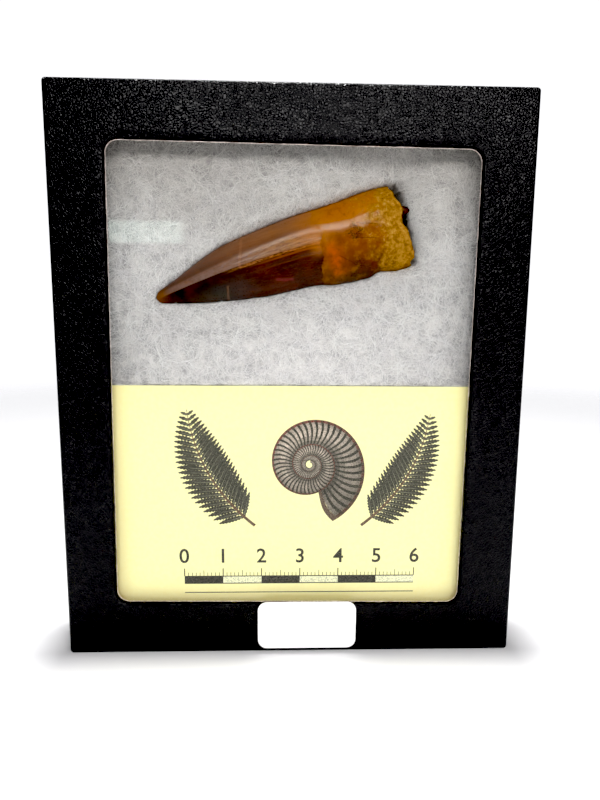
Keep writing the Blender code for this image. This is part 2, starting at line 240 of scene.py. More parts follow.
class Value:
    """A shader socket that Python arithmetic can be written on."""

    def __init__(self, finish, socket):
        self.finish = finish
        self.socket = socket

    def maths(self, operation, *others):
        return self.finish.node("ShaderNodeMath", {"operation": operation}, [self, *others])

    def __add__(self, other):
        return self.maths("ADD", other)

    def __sub__(self, other):
        return self.maths("SUBTRACT", other)

    def __rsub__(self, other):
        return self.finish.node("ShaderNodeMath", {"operation": "SUBTRACT"}, [other, self])

    def __mul__(self, other):
        return self.maths("MULTIPLY", other)

    def __truediv__(self, other):
        return self.maths("DIVIDE", other)

    def __pow__(self, other):
        return self.maths("POWER", other)

    def __abs__(self):
        return self.maths("ABSOLUTE")

    __radd__ = __add__
    __rmul__ = __mul__


class Finish:
    """A material being built: its tree, its shader, and one way to add any node."""

    def __init__(self, name, colour, roughness, **constants):
        self.material = bpy.data.materials.new(name)
        self.material.use_nodes = True
        self.material.diffuse_color = colour
        self.tree = self.material.node_tree
        self.shader = self.tree.nodes["Principled BSDF"]
        constants.update(Base_Color=colour, Roughness=roughness)
        for socket, value in constants.items():
            self.shader.inputs[socket.replace("_", " ")].default_value = value

    def node(self, kind, settings=None, inputs=None, output=0):
        """Adds a node: its settings first, then the values or links of its sockets."""
        made = self.tree.nodes.new(kind)
        for name, setting in (settings or {}).items():
            setattr(made, name, setting)
        pairs = inputs.items() if isinstance(inputs, dict) else enumerate(inputs or [])
        for name, value in pairs:
            if isinstance(value, Value):
                self.tree.links.new(value.socket, made.inputs[name])
            else:
                made.inputs[name].default_value = value
        return Value(self, made.outputs[output])

    def place(self):
        return self.node("ShaderNodeTexCoord", output="Object")

    def attribute(self, name, output="Fac"):
        return self.node("ShaderNodeAttribute", {"attribute_name": name}, output=output)

    def part_of(self, place, axis):
        return self.node("ShaderNodeSeparateXYZ", None, [place], axis)

    def vector(self, operation, inputs, output=0):
        return self.node("ShaderNodeVectorMath", {"operation": operation}, inputs, output)

    def noise(self, where, scale, detail, roughness=0.5, output=0):
        inputs = {"Vector": where, "Scale": scale, "Detail": detail, "Roughness": roughness}
        return self.node("ShaderNodeTexNoise", None, inputs, output)

    def cells(self, where, scale, feature="F1"):
        inputs = {"Vector": where, "Scale": scale}
        return self.node("ShaderNodeTexVoronoi", {"feature": feature}, inputs, "Distance")

    def rise(self, value, low, high):
        """0 below low and 1 above high, smooth between; low and high are numbers or values."""
        inputs = {"Value": value, "From Min": low, "From Max": high}
        return self.node("ShaderNodeMapRange", {"interpolation_type": "SMOOTHSTEP"}, inputs)

    def fall(self, value, low, high):
        """1 below low and 0 above high, smooth between."""
        return 1.0 - self.rise(value, low, high)

    def blend(self, factor, first, second):
        """First where factor is 0, second where it is 1; three numbers are a screen colour."""
        ends = [
            paint(*end) if isinstance(end, tuple) and len(end) == 3 else end for end in (first, second)
        ]
        return self.node("ShaderNodeMix", {"data_type": "RGBA"}, {0: factor, 6: ends[0], 7: ends[1]}, 2)

    def lay(self, base, *coats):
        """Lays colours over a base one after another, each with its own mask."""
        for mask, colour in coats:
            base = self.blend(mask, base, colour)
        return base

    def feed(self, **links):
        """Links values to the shader's sockets."""
        for name, value in links.items():
            self.tree.links.new(value.socket, self.shader.inputs[name.replace("_", " ")])

    def bump(self, height, distance):
        return self.node("ShaderNodeBump", None, {"Height": height, "Distance": distance})


def make_paper_finish(name, colour, grain_depth, gloss, shine):
    """Black leather-grain covering paper: rounded cells between fine creases."""
    finish = Finish(name, colour, gloss, Specular_IOR_Level=shine)
    place = finish.place()
    warp = finish.noise(place, 420.0, 2.0, output="Color")
    bent = finish.vector("MULTIPLY_ADD", [warp, (GRAIN_WARP, GRAIN_WARP, GRAIN_WARP), place])
    cell = finish.cells(bent, GRAIN_SCALE)
    crease = finish.cells(bent, GRAIN_SCALE, "DISTANCE_TO_EDGE")
    small = finish.cells(bent, FINE_GRAIN_SCALE)
    broad = finish.noise(place, 45.0, 3.0)
    height = finish.rise(crease, 0.0, 0.22) * 0.8 - cell * 0.5 - small * 0.3 + broad * 0.7
    worn = finish.noise(place, 90.0, 4.0, 0.6)
    shade = finish.rise(crease, 0.0, 0.3) * (0.35 + worn * 0.9)
    low, high = ((*(value * factor for value in colour[:3]), 1.0) for factor in (0.55, 1.5))
    finish.feed(
        Base_Color=finish.blend(shade, low, high),
        Roughness=gloss - 0.1 + finish.noise(place, 160.0, 3.0) * 0.2,
        Normal=finish.bump(height, grain_depth),
    )
    return finish.material


def make_cut_board_finish():
    """Pressed grey-cream board where the window was punched."""
    finish = Finish("cut_board", paint(188, 172, 158), 0.9, Specular_IOR_Level=0.2)
    place = finish.place()
    layers = finish.noise(place, 2400.0, 3.0, 0.6)
    dirt = finish.noise(place, 130.0, 3.0, 0.6)
    tone = finish.blend(finish.rise(layers, 0.35, 0.65), (182, 168, 162), (242, 230, 224))
    finish.feed(
        Base_Color=finish.blend(finish.rise(dirt, 0.5, 0.72), tone, (150, 134, 128)),
        Normal=finish.bump(layers, 0.08 * MM),
    )
    return finish.material


def make_glass_finish():
    """Clear pane; it bends only what the camera sees, and lets all other light straight through."""
    finish = Finish(
        "clear_glass", (0.99, 0.998, 0.992, 1.0), 0.0, Transmission_Weight=1.0, IOR=GLASS_IOR,
    )
    tree = finish.tree
    shadow, spread, glossy = (
        finish.node("ShaderNodeLightPath", output=f"Is {name} Ray")
        for name in ("Shadow", "Diffuse", "Glossy")
    )
    straight = shadow + spread + glossy
    clear = finish.node("ShaderNodeBsdfTransparent", None, {"Color": (0.93, 0.95, 0.94, 1.0)})
    mixer = tree.nodes.new("ShaderNodeMixShader")
    tree.links.new(straight.socket, mixer.inputs[0])
    tree.links.new(finish.shader.outputs[0], mixer.inputs[1])
    tree.links.new(clear.socket, mixer.inputs[2])
    tree.links.new(mixer.outputs[0], tree.nodes["Material Output"].inputs["Surface"])
    return finish.material


def make_card_finish():
    """Smooth cream card, with painted shade along its edges; the print is the face colour held by the
    mesh, broken up like ink.
    """
    finish = Finish("printed_card", paint(*CARD_COLOUR), 0.62, Specular_IOR_Level=0.12)
    place = finish.place()
    pulp = finish.noise(place, 900.0, 4.0, 0.6)
    stain = finish.noise(place, 60.0, 3.0, 0.6)
    from_middle = abs(finish.part_of(place, "X"))
    height = finish.part_of(place, "Z")
    # Painted shade of the lid's window frame, along the card's left, right and bottom edges
    frame_shade = finish.rise(from_middle, 0.0405, 0.0455) + finish.fall(height, 0.0125, 0.0185)
    paper = finish.lay(
        finish.blend(finish.rise(pulp, 0.3, 0.7), (255, 242, 174), (255, 245, 183)),
        (finish.rise(stain, 0.55, 0.8) * 0.35, (254, 232, 164)),
        (frame_shade * 0.5, (240, 212, 148)),
    )
    stipple = finish.cells(place, 5200.0)
    speckle = finish.noise(place, 3200.0, 2.0, 0.6)
    broken = finish.rise(stipple + speckle * 0.5, 0.55, 1.0)
    ink = finish.lay(
        finish.attribute("ink", "Color"),
        (broken * 0.14, (214, 204, 176)),
        (finish.rise(speckle, 0.46, 0.64) * 0.5, (12, 9, 6)),
    )
    finish.feed(
        Base_Color=finish.blend(finish.attribute("cover"), paper, ink),
        Roughness=0.56 + pulp * 0.14,
        Normal=finish.bump(pulp, 0.02 * MM),
    )
    return finish.material


def dust_share(finish, place):
    """How much painted shade darkens the wadding: more towards the top of the case, under the lid's edge,
    in soft clouds.
    """
    cloud = finish.noise(place, 55.0, 3.0, 0.6)
    height = finish.part_of(place, "Z") + (cloud - 0.5) * 0.03
    return finish.rise(height, TOP_SHADE_FROM, TOP_SHADE_FULL) * 0.45


def make_wadding_finish():
    """Body of the wadding under its loose fibres: soft mottled white."""
    finish = Finish("wadding_body", paint(186, 185, 190), 1.0, Specular_IOR_Level=0.1, Sheen_Weight=0.3)
    place = finish.place()
    clump = finish.noise(place, 330.0, 5.0, 0.62)
    strand = finish.noise(place, 1500.0, 3.0, 0.7)
    tone = clump * 0.6 + strand * 0.4
    colour = finish.blend(finish.rise(tone, 0.36, 0.64), (156, 150, 153), (218, 211, 210))
    finish.feed(
        # Painted shade darkens the body towards the top of the case
        Base_Color=finish.blend(dust_share(finish, place), colour, (128, 116, 108)),
        Normal=finish.bump(tone, 0.5 * MM),
    )
    return finish.material


def make_fibre_finish():
    """Loose polyester fibres."""
    finish = Finish("wadding_fibre", paint(245, 244, 244), 0.55, Specular_IOR_Level=0.5, Sheen_Weight=0.2)
    place = finish.place()
    colour = finish.blend(finish.noise(place, 140.0, 2.0), (242, 235, 239), (255, 251, 249))
    # Painted shade darkens the fibres towards the top of the case
    finish.feed(Base_Color=finish.blend(dust_share(finish, place), colour, (190, 178, 170)))
    return finish.material


def make_label_finish():
    """Smooth white label paper."""
    finish = Finish("white_label", paint(250, 250, 250), 0.5, Specular_IOR_Level=0.4)
    pulp = finish.noise(finish.place(), 1400.0, 4.0, 0.6)
    finish.feed(
        Base_Color=finish.blend(pulp, (244, 244, 246), (255, 255, 255)),
        Roughness=0.44 + pulp * 0.12,
        Normal=finish.bump(pulp, 0.015 * MM),
    )
    return finish.material


def mark(finish, along, across, start, end, width, wobble):
    """A thin mark on the tooth between two (along, across) points in mm, as a mask."""
    run = end[0] - start[0]
    rise = end[1] - start[1]
    length = math.hypot(run, rise)
    forward = (along - start[0]) * (run / length) + (across - start[1]) * (rise / length)
    aside = (across - start[1]) * (run / length) - (along - start[0]) * (rise / length)
    ends = finish.rise(forward, 0.0, 0.6) * finish.fall(forward, length - 0.6, length)
    return finish.fall(abs(aside + wobble), width * 0.4, width) * ends


def mark_lines(finish, along, across, wobble, lines):
    """One mask for several marks, each given as start, end, width and how much it wanders."""
    masks = [
        mark(finish, along, across, start, end, width, wobble * wander)
        for start, end, width, wander in lines
    ]
    total = masks[0]
    for mask in masks[1:]:
        total = total + mask
    return total


def make_tooth_finish():
    """Glossy dark enamel with a painted pale highlight along the crest, a golden root and a rough, pitted
    broken end.
    """
    finish = Finish("fossil_tooth", paint(110, 56, 20), 0.3, Specular_IOR_Level=0.1, Coat_Roughness=0.2)
    rise = finish.rise
    fall = finish.fall
    place = finish.place()
    along, across, share, groove, past_edge, inside = (finish.attribute(name) for name in TOOTH_MARKS)

    cloud = finish.noise(place, 170.0, 4.0, 0.55)
    fine = finish.noise(place, 900.0, 4.0, 0.65)
    mottle = finish.noise(place, 460.0, 4.0, 0.6)
    wobble = (finish.noise(place, 420.0, 3.0, 0.6) - 0.5) * 1.6
    grain_place = finish.node("ShaderNodeCombineXYZ", None, [along * 0.14, across, share * 2.0])
    streak = finish.noise(grain_place, 2.6, 4.0, 0.6)
    hair = finish.noise(grain_place, 6.0, 3.0, 0.6)

    past = past_edge + (mottle - 0.5) * 2.6 + (fine - 0.5) * 1.2
    soft = 0.35 + rise(share, -0.1, 0.5) * 2.2
    crown = fall(past / soft, -0.6, 0.6)
    bare = 1.0 - crown
    crest = along * 0.148 - 0.5 - along * along * 0.00203
    over = across - crest + wobble * 0.12
    above = rise(over, -0.14, 0.14)

    # Crown above the crest: reddish brown lifted towards grey by a painted sheen; a painted shadow lies
    # over a painted highlight, a pale sparkling band of fine flutes along the crest
    band_width = 1.3 + along * 0.06
    # Painted highlight: band is where it lies along the crest, worn is its colour and the sparkle breaks
    # it into glints; flutes are darker lines through it
    band = above * fall(over, band_width * 0.6, band_width) * rise(along, 1.5, 6.0)
    shadow = rise(over, band_width * 0.8, band_width) * fall(over, band_width, band_width + 1.8)
    worn = finish.blend(rise(along, 22.0, 35.0), (118, 90, 82), (146, 100, 56))
    highlight_sparkle = rise(fine * 0.6 + hair * 0.4, 0.42, 0.62)
    flutes = rise(streak * 0.6 + hair * 0.4, 0.5, 0.58) * band * rise(along, 12.0, 22.0)
    # The facet's greyish lift over its reddish brown is a painted sheen
    facet = finish.lay(
        finish.blend(rise(along, 8.0, 34.0), (100, 77, 68), (140, 95, 66)),
        (rise(streak, 0.4, 0.7) * 0.4, (120, 74, 54)),
        (rise(mottle, 0.5, 0.7) * 0.35, (146, 96, 54)),
        (shadow * 0.35, (58, 32, 28)),
        (band * (0.15 + highlight_sparkle * 0.8), worn),
        (flutes * 0.55, (92, 56, 40)),
    )

    # Crown below the crest: nearly black, then maroon, with golden ridges near the root
    olive = fall(across, -3.6, -1.4) * fall(along, 15.0, 21.0)
    ridges = rise(over, -3.6, -0.8) * rise(along, 21.0, 34.0)
    low_lines = rise(hair, 0.52, 0.72) * rise(along, 14.0, 24.0)
    dark = finish.lay(
        finish.blend(rise(along, 15.0, 23.0), (31, 24, 21), (50, 32, 26)),
        (rise(cloud, 0.42, 0.66) * 0.5, (80, 40, 29)),
        (olive * 0.45, (40, 36, 20)),
        (ridges * (0.12 + rise(groove, 0.0, 0.9) * 0.75), (134, 72, 12)),
        (low_lines * 0.4, (122, 66, 46)),
    )

    # Whole crown: a golden line under the crest, an ochre tip, pale cracks and a warm end
    gold_line = fall(abs(over + 0.4 + (streak - 0.5) * 0.9), 0.1, 0.5)
    gold_line = gold_line * rise(along, 16.0, 24.0) * rise(hair, 0.36, 0.6)
    light_crack = mark_lines(finish, along, across, wobble, LIGHT_CRACKS)
    rosy = mark_lines(finish, along, across, wobble, ROSY_MARKS)
    warm = rise(along, 34.0, 42.0) * rise(over, -1.6, 1.0)
    warm = warm + rise(along, 38.6, 41.8) * fall(over, -1.6, 1.0) * rise(over, -4.6, -1.6)
    enamel = finish.lay(
        finish.blend(above, dark, facet),
        (gold_line * 0.6, (190, 118, 54)),
        (fall(along + wobble, 0.8, 4.2) * 0.8, (112, 66, 16)),
        (light_crack * 0.14, (190, 128, 92)),
        (rosy * 0.35, (136, 56, 62)),
        (warm * 0.6, (172, 104, 46)),
    )

    # Rough end: ochre crust with fine dark pits, creeping unevenly over the root
    spread = finish.noise(place, 250.0, 4.0, 0.6)
    crumb = finish.noise(place, 1100.0, 5.0, 0.72)
    crust = rise(along + (spread - 0.5) * 26.0 + (crumb - 0.5) * 8.0, 52.5, 60.5)
    pit = rise(finish.noise(place, 820.0, 5.0, 0.78), 0.55, 0.66)
    ochre = finish.lay(
        finish.blend(rise(crumb, 0.36, 0.6), (136, 94, 36), (180, 130, 58)),
        (rise(crumb, 0.56, 0.72) * rise(share, -0.9, 0.3), (214, 176, 112)),
        (pit * 0.55, (88, 60, 22)),
    )

    # Root: golden above, brown below, with a soft patch of orange red beside the crown
    patch = rise(along + wobble * 0.6, 42.8, 44.6) * fall(along + wobble, 45.2, 48.4)
    patch = patch * fall(across + wobble, -0.5, 2.5) * rise(across, -7.8, -6.0)
    collar = rise(past, -0.4, 0.8) * fall(past, 0.8, 3.0) * rise(share, -0.15, 0.25)
    cracks = mark_lines(finish, along, across, wobble, ROOT_CRACKS)
    sores = rise(finish.noise(place, 2300.0, 3.0, 0.7), 0.46, 0.6)
    near_sores = fall(abs(along - 51.3) + abs(across - 1.8), 1.4, 3.4)
    near_sores = near_sores + fall(abs(along - 50.8) + abs(across + 5.4), 0.8, 2.2)
    root = finish.lay(
        finish.blend(rise(share, -0.9, -0.1), (58, 36, 18), (122, 66, 20)),
        (rise(share + wobble * 0.06, 0.05, 0.6), (178, 108, 26)),
        (rise(cloud, 0.42, 0.66) * 0.3, (150, 78, 6)),
        (rise(mottle, 0.48, 0.66) * 0.3, (168, 108, 30)),
        (fall(mottle, 0.34, 0.46) * 0.35, (98, 50, 8)),
        (patch * rise(mottle, 0.3, 0.6) * 0.65, (172, 78, 6)),
        (collar * 0.4, (170, 106, 24)),
        (pit * 0.28, (84, 42, 8)),
        (crust * 0.85, ochre),
        (cracks * 0.4, (70, 36, 10)),
        (sores * near_sores * 0.8, (62, 40, 14)),
    )

    # Broken face: earth packed in the pulp cavity
    earth = finish.blend(rise(crumb, 0.38, 0.62), (34, 18, 8), (88, 56, 26))
    colour = finish.blend(crown, root, enamel)
    colour = finish.blend(rise(inside, 0.05, 0.14), colour, earth)

    rough = 0.2 + fine * 0.2 + bare * 0.06 + crust * 0.36 + rise(inside, 0.05, 0.3) * 0.2
    height = streak * crown * 0.3 + hair * crown * 0.2 + fine * bare * 0.1
    height = height + crumb * crust * 1.2 - pit * crust * 0.8
    height = height - cracks * 0.5 - light_crack * 0.2 - sores * near_sores * 0.9
    coat = crown * above * 0.26 + band * 0.34 + bare * rise(share, -0.4, 0.3) * 0.3
    finish.feed(
        Base_Color=colour,
        Roughness=rough,
        Coat_Weight=(1.0 - crust) * coat,
        Normal=finish.bump(height, 0.12 * MM),
    )
    return finish.material


def make_floor_finish():
    """Pale matt table that melts into the white room further out."""
    finish = Finish("pale_table", paint(242, 242, 243), 0.65, Specular_IOR_Level=0.25)
    place = finish.place()
    distance = finish.vector("LENGTH", [place], "Value")
    soft = finish.noise(place, 9.0, 2.0)
    finish.feed(
        Base_Color=finish.blend(soft * 0.15, (242, 242, 243), (250, 250, 252)),
        Alpha=finish.fall(distance, FADE_FROM, FADE_TO),
    )
    return finish.material


# Meshes


def add_mesh(name, mesh_data, materials, smooth_angle=None):
    """Makes a piece at the origin from a bmesh, with its normals outwards."""
    bmesh.ops.recalc_face_normals(mesh_data, faces=mesh_data.faces)
    mesh = bpy.data.meshes.new(name)
    mesh_data.to_mesh(mesh)
    mesh_data.free()
    for material in materials:
        mesh.materials.append(material)
    piece = bpy.data.objects.new(name, mesh)
    bpy.context.scene.collection.objects.link(piece)
    if smooth_angle is not None:
        mesh.shade_smooth()
        mesh.set_sharp_from_angle(angle=math.radians(smooth_angle))
    return piece


def rounded_outline(width, height, radius, corner_steps, side_steps=1):
    """Points (x, z) round a rectangle with round corners, about its own middle."""
    points = []
    corners = ((1, 1, 0.0), (-1, 1, 90.0), (-1, -1, 180.0), (1, -1, 270.0))
    for side_x, side_z, start in corners:
        middle_x = side_x * (width / 2 - radius)
        middle_z = side_z * (height / 2 - radius)
        for step in range(corner_steps + 1):
            angle = math.radians(start + 90.0 * step / corner_steps)
            points.append((middle_x + radius * math.cos(angle), middle_z + radius * math.sin(angle)))
    if side_steps == 1:
        return points
    filled = []
    per_corner = corner_steps + 1
    for corner in range(4):
        arc = points[corner * per_corner:(corner + 1) * per_corner]
        following = points[(corner + 1) * per_corner % len(points)]
        filled.extend(arc)
        for step in range(1, side_steps):
            share = step / side_steps
            x = arc[-1][0] + (following[0] - arc[-1][0]) * share
            z = arc[-1][1] + (following[1] - arc[-1][1]) * share
            filled.append((x, z))
    return filled


def turn_outline(points, angle, shift):
    """Turns an outline about its middle and shifts it sideways."""
    cosine = math.cos(angle)
    sine = math.sin(angle)
    return [(x * cosine - z * sine + shift, x * sine + z * cosine) for x, z in points]


def lift_outline(points, centre_z, depth):
    """Places an outline in the case as points (x, y, z)."""
    return [Vector((x, depth, z + centre_z)) for x, z in points]


def arc_angles(degrees, steps):
    """Angles from 0 to a given one in equal steps, in radians."""
    return [math.radians(degrees * step / steps) for step in range(steps + 1)]


def join_rings(mesh_data, rings, closed, materials=None):
    """Joins rings of vertices with faces: closed makes a loop of them, otherwise the ends are filled."""
    count = len(rings)
    pairs = count if closed else count - 1
    for index in range(pairs):
        ring = rings[index]
        following = rings[(index + 1) % count]
        size = len(ring)
        for corner in range(size):
            after = (corner + 1) % size
            face = mesh_data.faces.new((ring[corner], ring[after], following[after], following[corner]))
            if materials:
                face.material_index = materials[index]
    if not closed:
        mesh_data.faces.new(rings[0])
        mesh_data.faces.new(rings[-1])


def join_outlines(mesh_data, outlines, closed, materials=None):
    """Makes vertices of several outlines and joins them with faces."""
    rings = [[mesh_data.verts.new(point) for point in outline] for outline in outlines]
    join_rings(mesh_data, rings, closed, materials)


def join_grid(mesh_data, grid):
    """Makes a surface of a grid of points."""
    verts = [[mesh_data.verts.new(point) for point in line] for line in grid]
    for line, above in zip(verts, verts[1:]):
        for column in range(len(line) - 1):
            mesh_data.faces.new((line[column], line[column + 1], above[column + 1], above[column]))


def close_back(mesh_data, depth):
    """Runs the open border of a surface back to a depth and closes it; gives the new faces."""
    border = [edge for edge in mesh_data.edges if edge.is_boundary]
    grown = bmesh.ops.extrude_edge_only(mesh_data, edges=border)["geom"]
    for item in grown:
        if isinstance(item, bmesh.types.BMVert):
            item.co.y = depth
    rim = [edge for edge in mesh_data.edges if edge.is_boundary]
    back = bmesh.ops.edgeloop_fill(mesh_data, edges=rim)["faces"]
    return [item for item in grown if isinstance(item, bmesh.types.BMFace)] + list(back)


def build_lid(paper, cut_board):
    """The lid: punched window with a ragged cut edge, puffed front, soft folds and turned-in rim."""
    low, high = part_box("lid")
    width = high.x - low.x
    height = high.z - low.z
    middle_z = (low.z + high.z) / 2
    front = low.y
    back = high.y

    def window(grow):
        outline = rounded_outline(
            WINDOW_WIDTH + 2 * grow, WINDOW_HEIGHT + 2 * grow, WINDOW_CORNER + grow, *LID_STEPS
        )
        return turn_outline(outline, WINDOW_TURN, WINDOW_SHIFT)

    def case(inset):
        radius = max(CASE_CORNER - inset, 0.5 * MM)
        return rounded_outline(width - 2 * inset, height - 2 * inset, radius, *LID_STEPS)

    rings = []
    materials = []

    def add_ring(outline, depth, material=0, ragged=0.0):
        points = lift_outline(outline, middle_z, depth)
        if ragged:
            for point in points:
                wave = noise.noise(Vector((point.x * 900.0, 3.1, point.z * 900.0)))
                wave += 0.6 * noise.noise(Vector((point.x * 260.0, 9.4, point.z * 260.0)))
                inward = Vector((-point.x, 0.0, middle_z - point.z)).normalized()
                point += inward * wave * ragged
        rings.append(points)
        materials.append(material)

    add_ring(window(0.0), front + BOARD, 1)
    add_ring(window(0.02 * MM), front + CUT_MIDDLE, 1, CUT_RAGGEDNESS)
    add_ring(window(PAPER_STAND), front + PAPER_END, 0, CUT_RAGGEDNESS)
    for angle in arc_angles(90.0, 5)[1:]:
        grow = PAPER_STAND + PAPER_ROLL * (1.0 - math.cos(angle))
        add_ring(window(grow), front + PAPER_ROLL * (1.0 - math.sin(angle)) + PAPER_STAND)
    inner = window(1.0 * MM)
    outer = case(FOLD_RADIUS)
    bands = 10
    for band in range(bands):
        share = band / bands
        outline = [
            (ax + (bx - ax) * share, az + (bz - az) * share) for (ax, az), (bx, bz) in zip(inner, outer)
        ]
        add_ring(outline, front)
        for point in rings[-1]:
            swell = noise.noise(point * 26.0) + 0.4 * noise.noise(point * 95.0)
            rise = math.sin(math.pi * min(share + 0.06, 1.0)) ** 0.5
            point.y += PAPER_PUFF * (0.5 - swell) * rise * 0.5
    for angle in arc_angles(90.0, 6):
        inset = FOLD_RADIUS * (1.0 - math.sin(angle))
        add_ring(case(inset), front + FOLD_RADIUS * (1.0 - math.cos(angle)))
    for share in (0.12, 0.3, 0.5, 0.7, 0.9):
        add_ring(case(0.0), front + (back - front) * share)
        for point in rings[-1]:
            swell = noise.noise(point * 42.0)
            outward = Vector((point.x / width, 0.0, (point.z - middle_z) / height))
            point += outward.normalized() * (swell - 0.7) * WALL_PUFF
    for angle in arc_angles(180.0, 6):
        inset = BOARD / 2 * (1.0 - math.cos(angle))
        add_ring(case(inset), back - RIM_ROUNDING * (1.0 - math.sin(angle)))
    add_ring(case(BOARD), front + BOARD + 0.1 * MM)
    add_ring(case(BOARD + 0.1 * MM), front + BOARD)

    mesh_data = bmesh.new()
    join_outlines(mesh_data, rings, True, materials)
    piece = add_mesh("case_lid", mesh_data, [paper, cut_board], 50.0)
    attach(piece, "root")
    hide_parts("lid")


def build_tray(paper):
    """The tray that slides into the lid, with soft paper folds round its back."""
    low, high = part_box("base_tray")
    fill_low, fill_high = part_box("batting")
    width = high.x - low.x
    height = high.z - low.z
    middle_z = (low.z + high.z) / 2
    rings = []

    def add_ring(outline_width, outline_height, radius, depth):
        outline = rounded_outline(outline_width, outline_height, radius, *TRAY_STEPS)
        rings.append(lift_outline(outline, middle_z, depth))

    for share in (0.2, 0.45, 0.7, 0.9):
        add_ring((width - 2 * TRAY_FOLD) * share, (height - 2 * TRAY_FOLD) * share, 1.0 * MM, high.y)
        for point in rings[-1]:
            point.y -= 0.05 * MM * (1.0 + noise.noise(point * 30.0))
    levels = [
        (TRAY_FOLD * (1.0 - math.sin(angle)), high.y - TRAY_FOLD * (1.0 - math.cos(angle)))
        for angle in arc_angles(90.0, 5)
    ]
    levels += [(0.0, low.y + 0.2 * MM), (0.2 * MM, low.y)]
    for inset, depth in levels:
        add_ring(width - 2 * inset, height - 2 * inset, TRAY_CORNER, depth)
    for depth in (low.y, fill_high.y + TRAY_PLAY):
        inner_width = fill_high.x - fill_low.x + 2 * TRAY_PLAY
        inner_height = fill_high.z - fill_low.z + 2 * TRAY_PLAY
        add_ring(inner_width, inner_height, 0.5 * MM, depth)
    mesh_data = bmesh.new()
    join_outlines(mesh_data, rings, False)
    piece = add_mesh("case_tray", mesh_data, [paper], 50.0)
    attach(piece, "root")
    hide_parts("base_tray")


def build_label(paper):
    """The small label, its edge a touch thinner than its middle."""
    low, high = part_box("label_sticker")
    width = high.x - low.x
    height = high.z - low.z
    aside = Vector(((low.x + high.x) / 2, 0.0, 0.0))
    levels = ((0.0, high.y), (0.0, low.y + 0.08 * MM), (0.03 * MM, low.y + 0.02 * MM), (0.1 * MM, low.y))
    rings = []
    for inset, depth in levels:
        outline = rounded_outline(width - 2 * inset, height - 2 * inset, LABEL_CORNER - inset, 14)
        rings.append([point + aside for point in lift_outline(outline, (low.z + high.z) / 2, depth)])
    mesh_data = bmesh.new()
    join_outlines(mesh_data, rings, False)
    piece = add_mesh("label", mesh_data, [paper], 40.0)
    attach(piece, "root")
    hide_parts("label_sticker")


# Tooth


def tooth_section(along):
    """Middle, half height and half thickness of the tooth's section, in metres."""
    upper = read_curve(UPPER_EDGE, along) * MM
    lower = read_curve(LOWER_EDGE, along) * MM
    rounding = 1.0 - min(max(along / TIP_ROUNDING, 0.0), 1.0)
    shrink = math.sqrt(1.0 - rounding * rounding)
    half_height = (upper - lower) / 2 * shrink
    half_thickness = read_curve(HALF_THICKNESS, along) * MM * shrink
    return (upper + lower) / 2 * shrink, half_height, half_thickness


def enamel_edge(across_share):
    """Place along the tooth where the enamel ends: an uneven line that bows towards the base."""
    bow = 1.0 - across_share * across_share
    wave = noise.noise(Vector((across_share * 2.3, 4.0, 0.0)))
    wave += 0.5 * noise.noise(Vector((across_share * 7.0, 8.0, 0.0)))
    return CROWN_LENGTH + (0.9 * bow + 0.9 * across_share + 0.9 * wave) * MM


def flute_wave(along, sweep):
    """Ridge height, -1 to 1: narrow ridges with wider valleys, each with its own strength."""
    phase = FLUTES_PER_SIDE * sweep / 2
    ridge = math.floor(phase + 0.5)
    own = noise.noise(Vector((ridge * 3.7, 1.3, 0.0)))
    shape = math.cos(2.0 * math.pi * phase)
    sharp = 2.0 * ((shape + 1.0) / 2.0) ** 1.7 - 1.0
    fade = noise.noise(Vector((ridge * 2.1, along * 60.0, 5.0)))
    return sharp * (1.0 + 0.45 * own + 0.35 * fade)


def tooth_point(along, line):
    """Point of the tooth's skin and its marks: line runs 0 to 2 round the section."""
    front = line <= 1.0
    sweep = 1.0 - 2.0 * line if front else 2.0 * line - 3.0
    share = sweep * (1.5 - 0.5 * sweep * sweep)
    middle, half_height, half_thickness = tooth_section(along)
    crest = read_curve(CREST, along) if front else 0.0
    side = (share - crest) / (1.0 - crest) if share > crest else (crest - share) / (1.0 + crest)
    bulge = max(1.0 - abs(side) ** SIDE_ROUNDNESS, 0.0) ** 0.5

    edge = enamel_edge(share)
    crown = 1.0 - smooth_step(edge - 0.4 * MM, edge + 0.5 * MM, along)
    strength = smooth_step(FLUTES_FROM, FLUTES_FULL, along) * crown
    fluted = smooth_step(0.34, 0.2, share) if front else smooth_step(0.8, 0.6, abs(share))
    fluted *= 0.45 + 0.55 * smooth_step(-0.75, -0.3, share)
    groove = flute_wave(along, sweep) * strength * fluted

    across = middle + share * half_height
    thickness = (half_thickness + groove * FLUTE_HEIGHT) * bulge
    depth = -thickness if front else thickness

    root = smooth_step(edge, edge + 1.2 * MM, along)
    rough = smooth_step(ROUGH_FROM, ROUGH_FULL, along)
    spot = Vector((along, across, depth))
    grain = noise.noise(spot * 260.0)
    grain += 0.6 * noise.noise(spot * 620.0) * rough
    grain += 0.5 * noise.noise(spot * 1500.0) * rough * rough
    swell = ROOT_LUMPS * grain * root * (0.35 + 0.65 * rough) - ENAMEL_STEP * root
    swell -= nick_depth(along, share, spot)
    reach = max(math.hypot(across - middle, depth), 0.1 * MM)
    across += swell * (across - middle) / reach
    depth += swell * depth / reach
    past_edge = (along - edge) / MM

    break_share = smooth_step(BREAK_FROM, TOOTH_LENGTH, along)
    jag = noise.noise(Vector((across * 210.0, depth * 210.0, 4.7))) * BASE_JAGS
    jag += 0.3 * noise.noise(Vector((across * 800.0, depth * 800.0, 1.7))) * BASE_JAGS
    jag -= smooth_step(-0.35, 0.1, share) * UPPER_HALF_LOSS
    jag -= smooth_step(0.8, 1.0, share) * UPPER_CORNER_LOSS
    jag -= smooth_step(-0.75, -1.0, share) * LOWER_CORNER_LOSS
    axis_depth = read_curve(DEPTH_OF_AXIS, along) * MM
    return Vector((along + jag * break_share, axis_depth + depth, across)), share, groove, past_edge


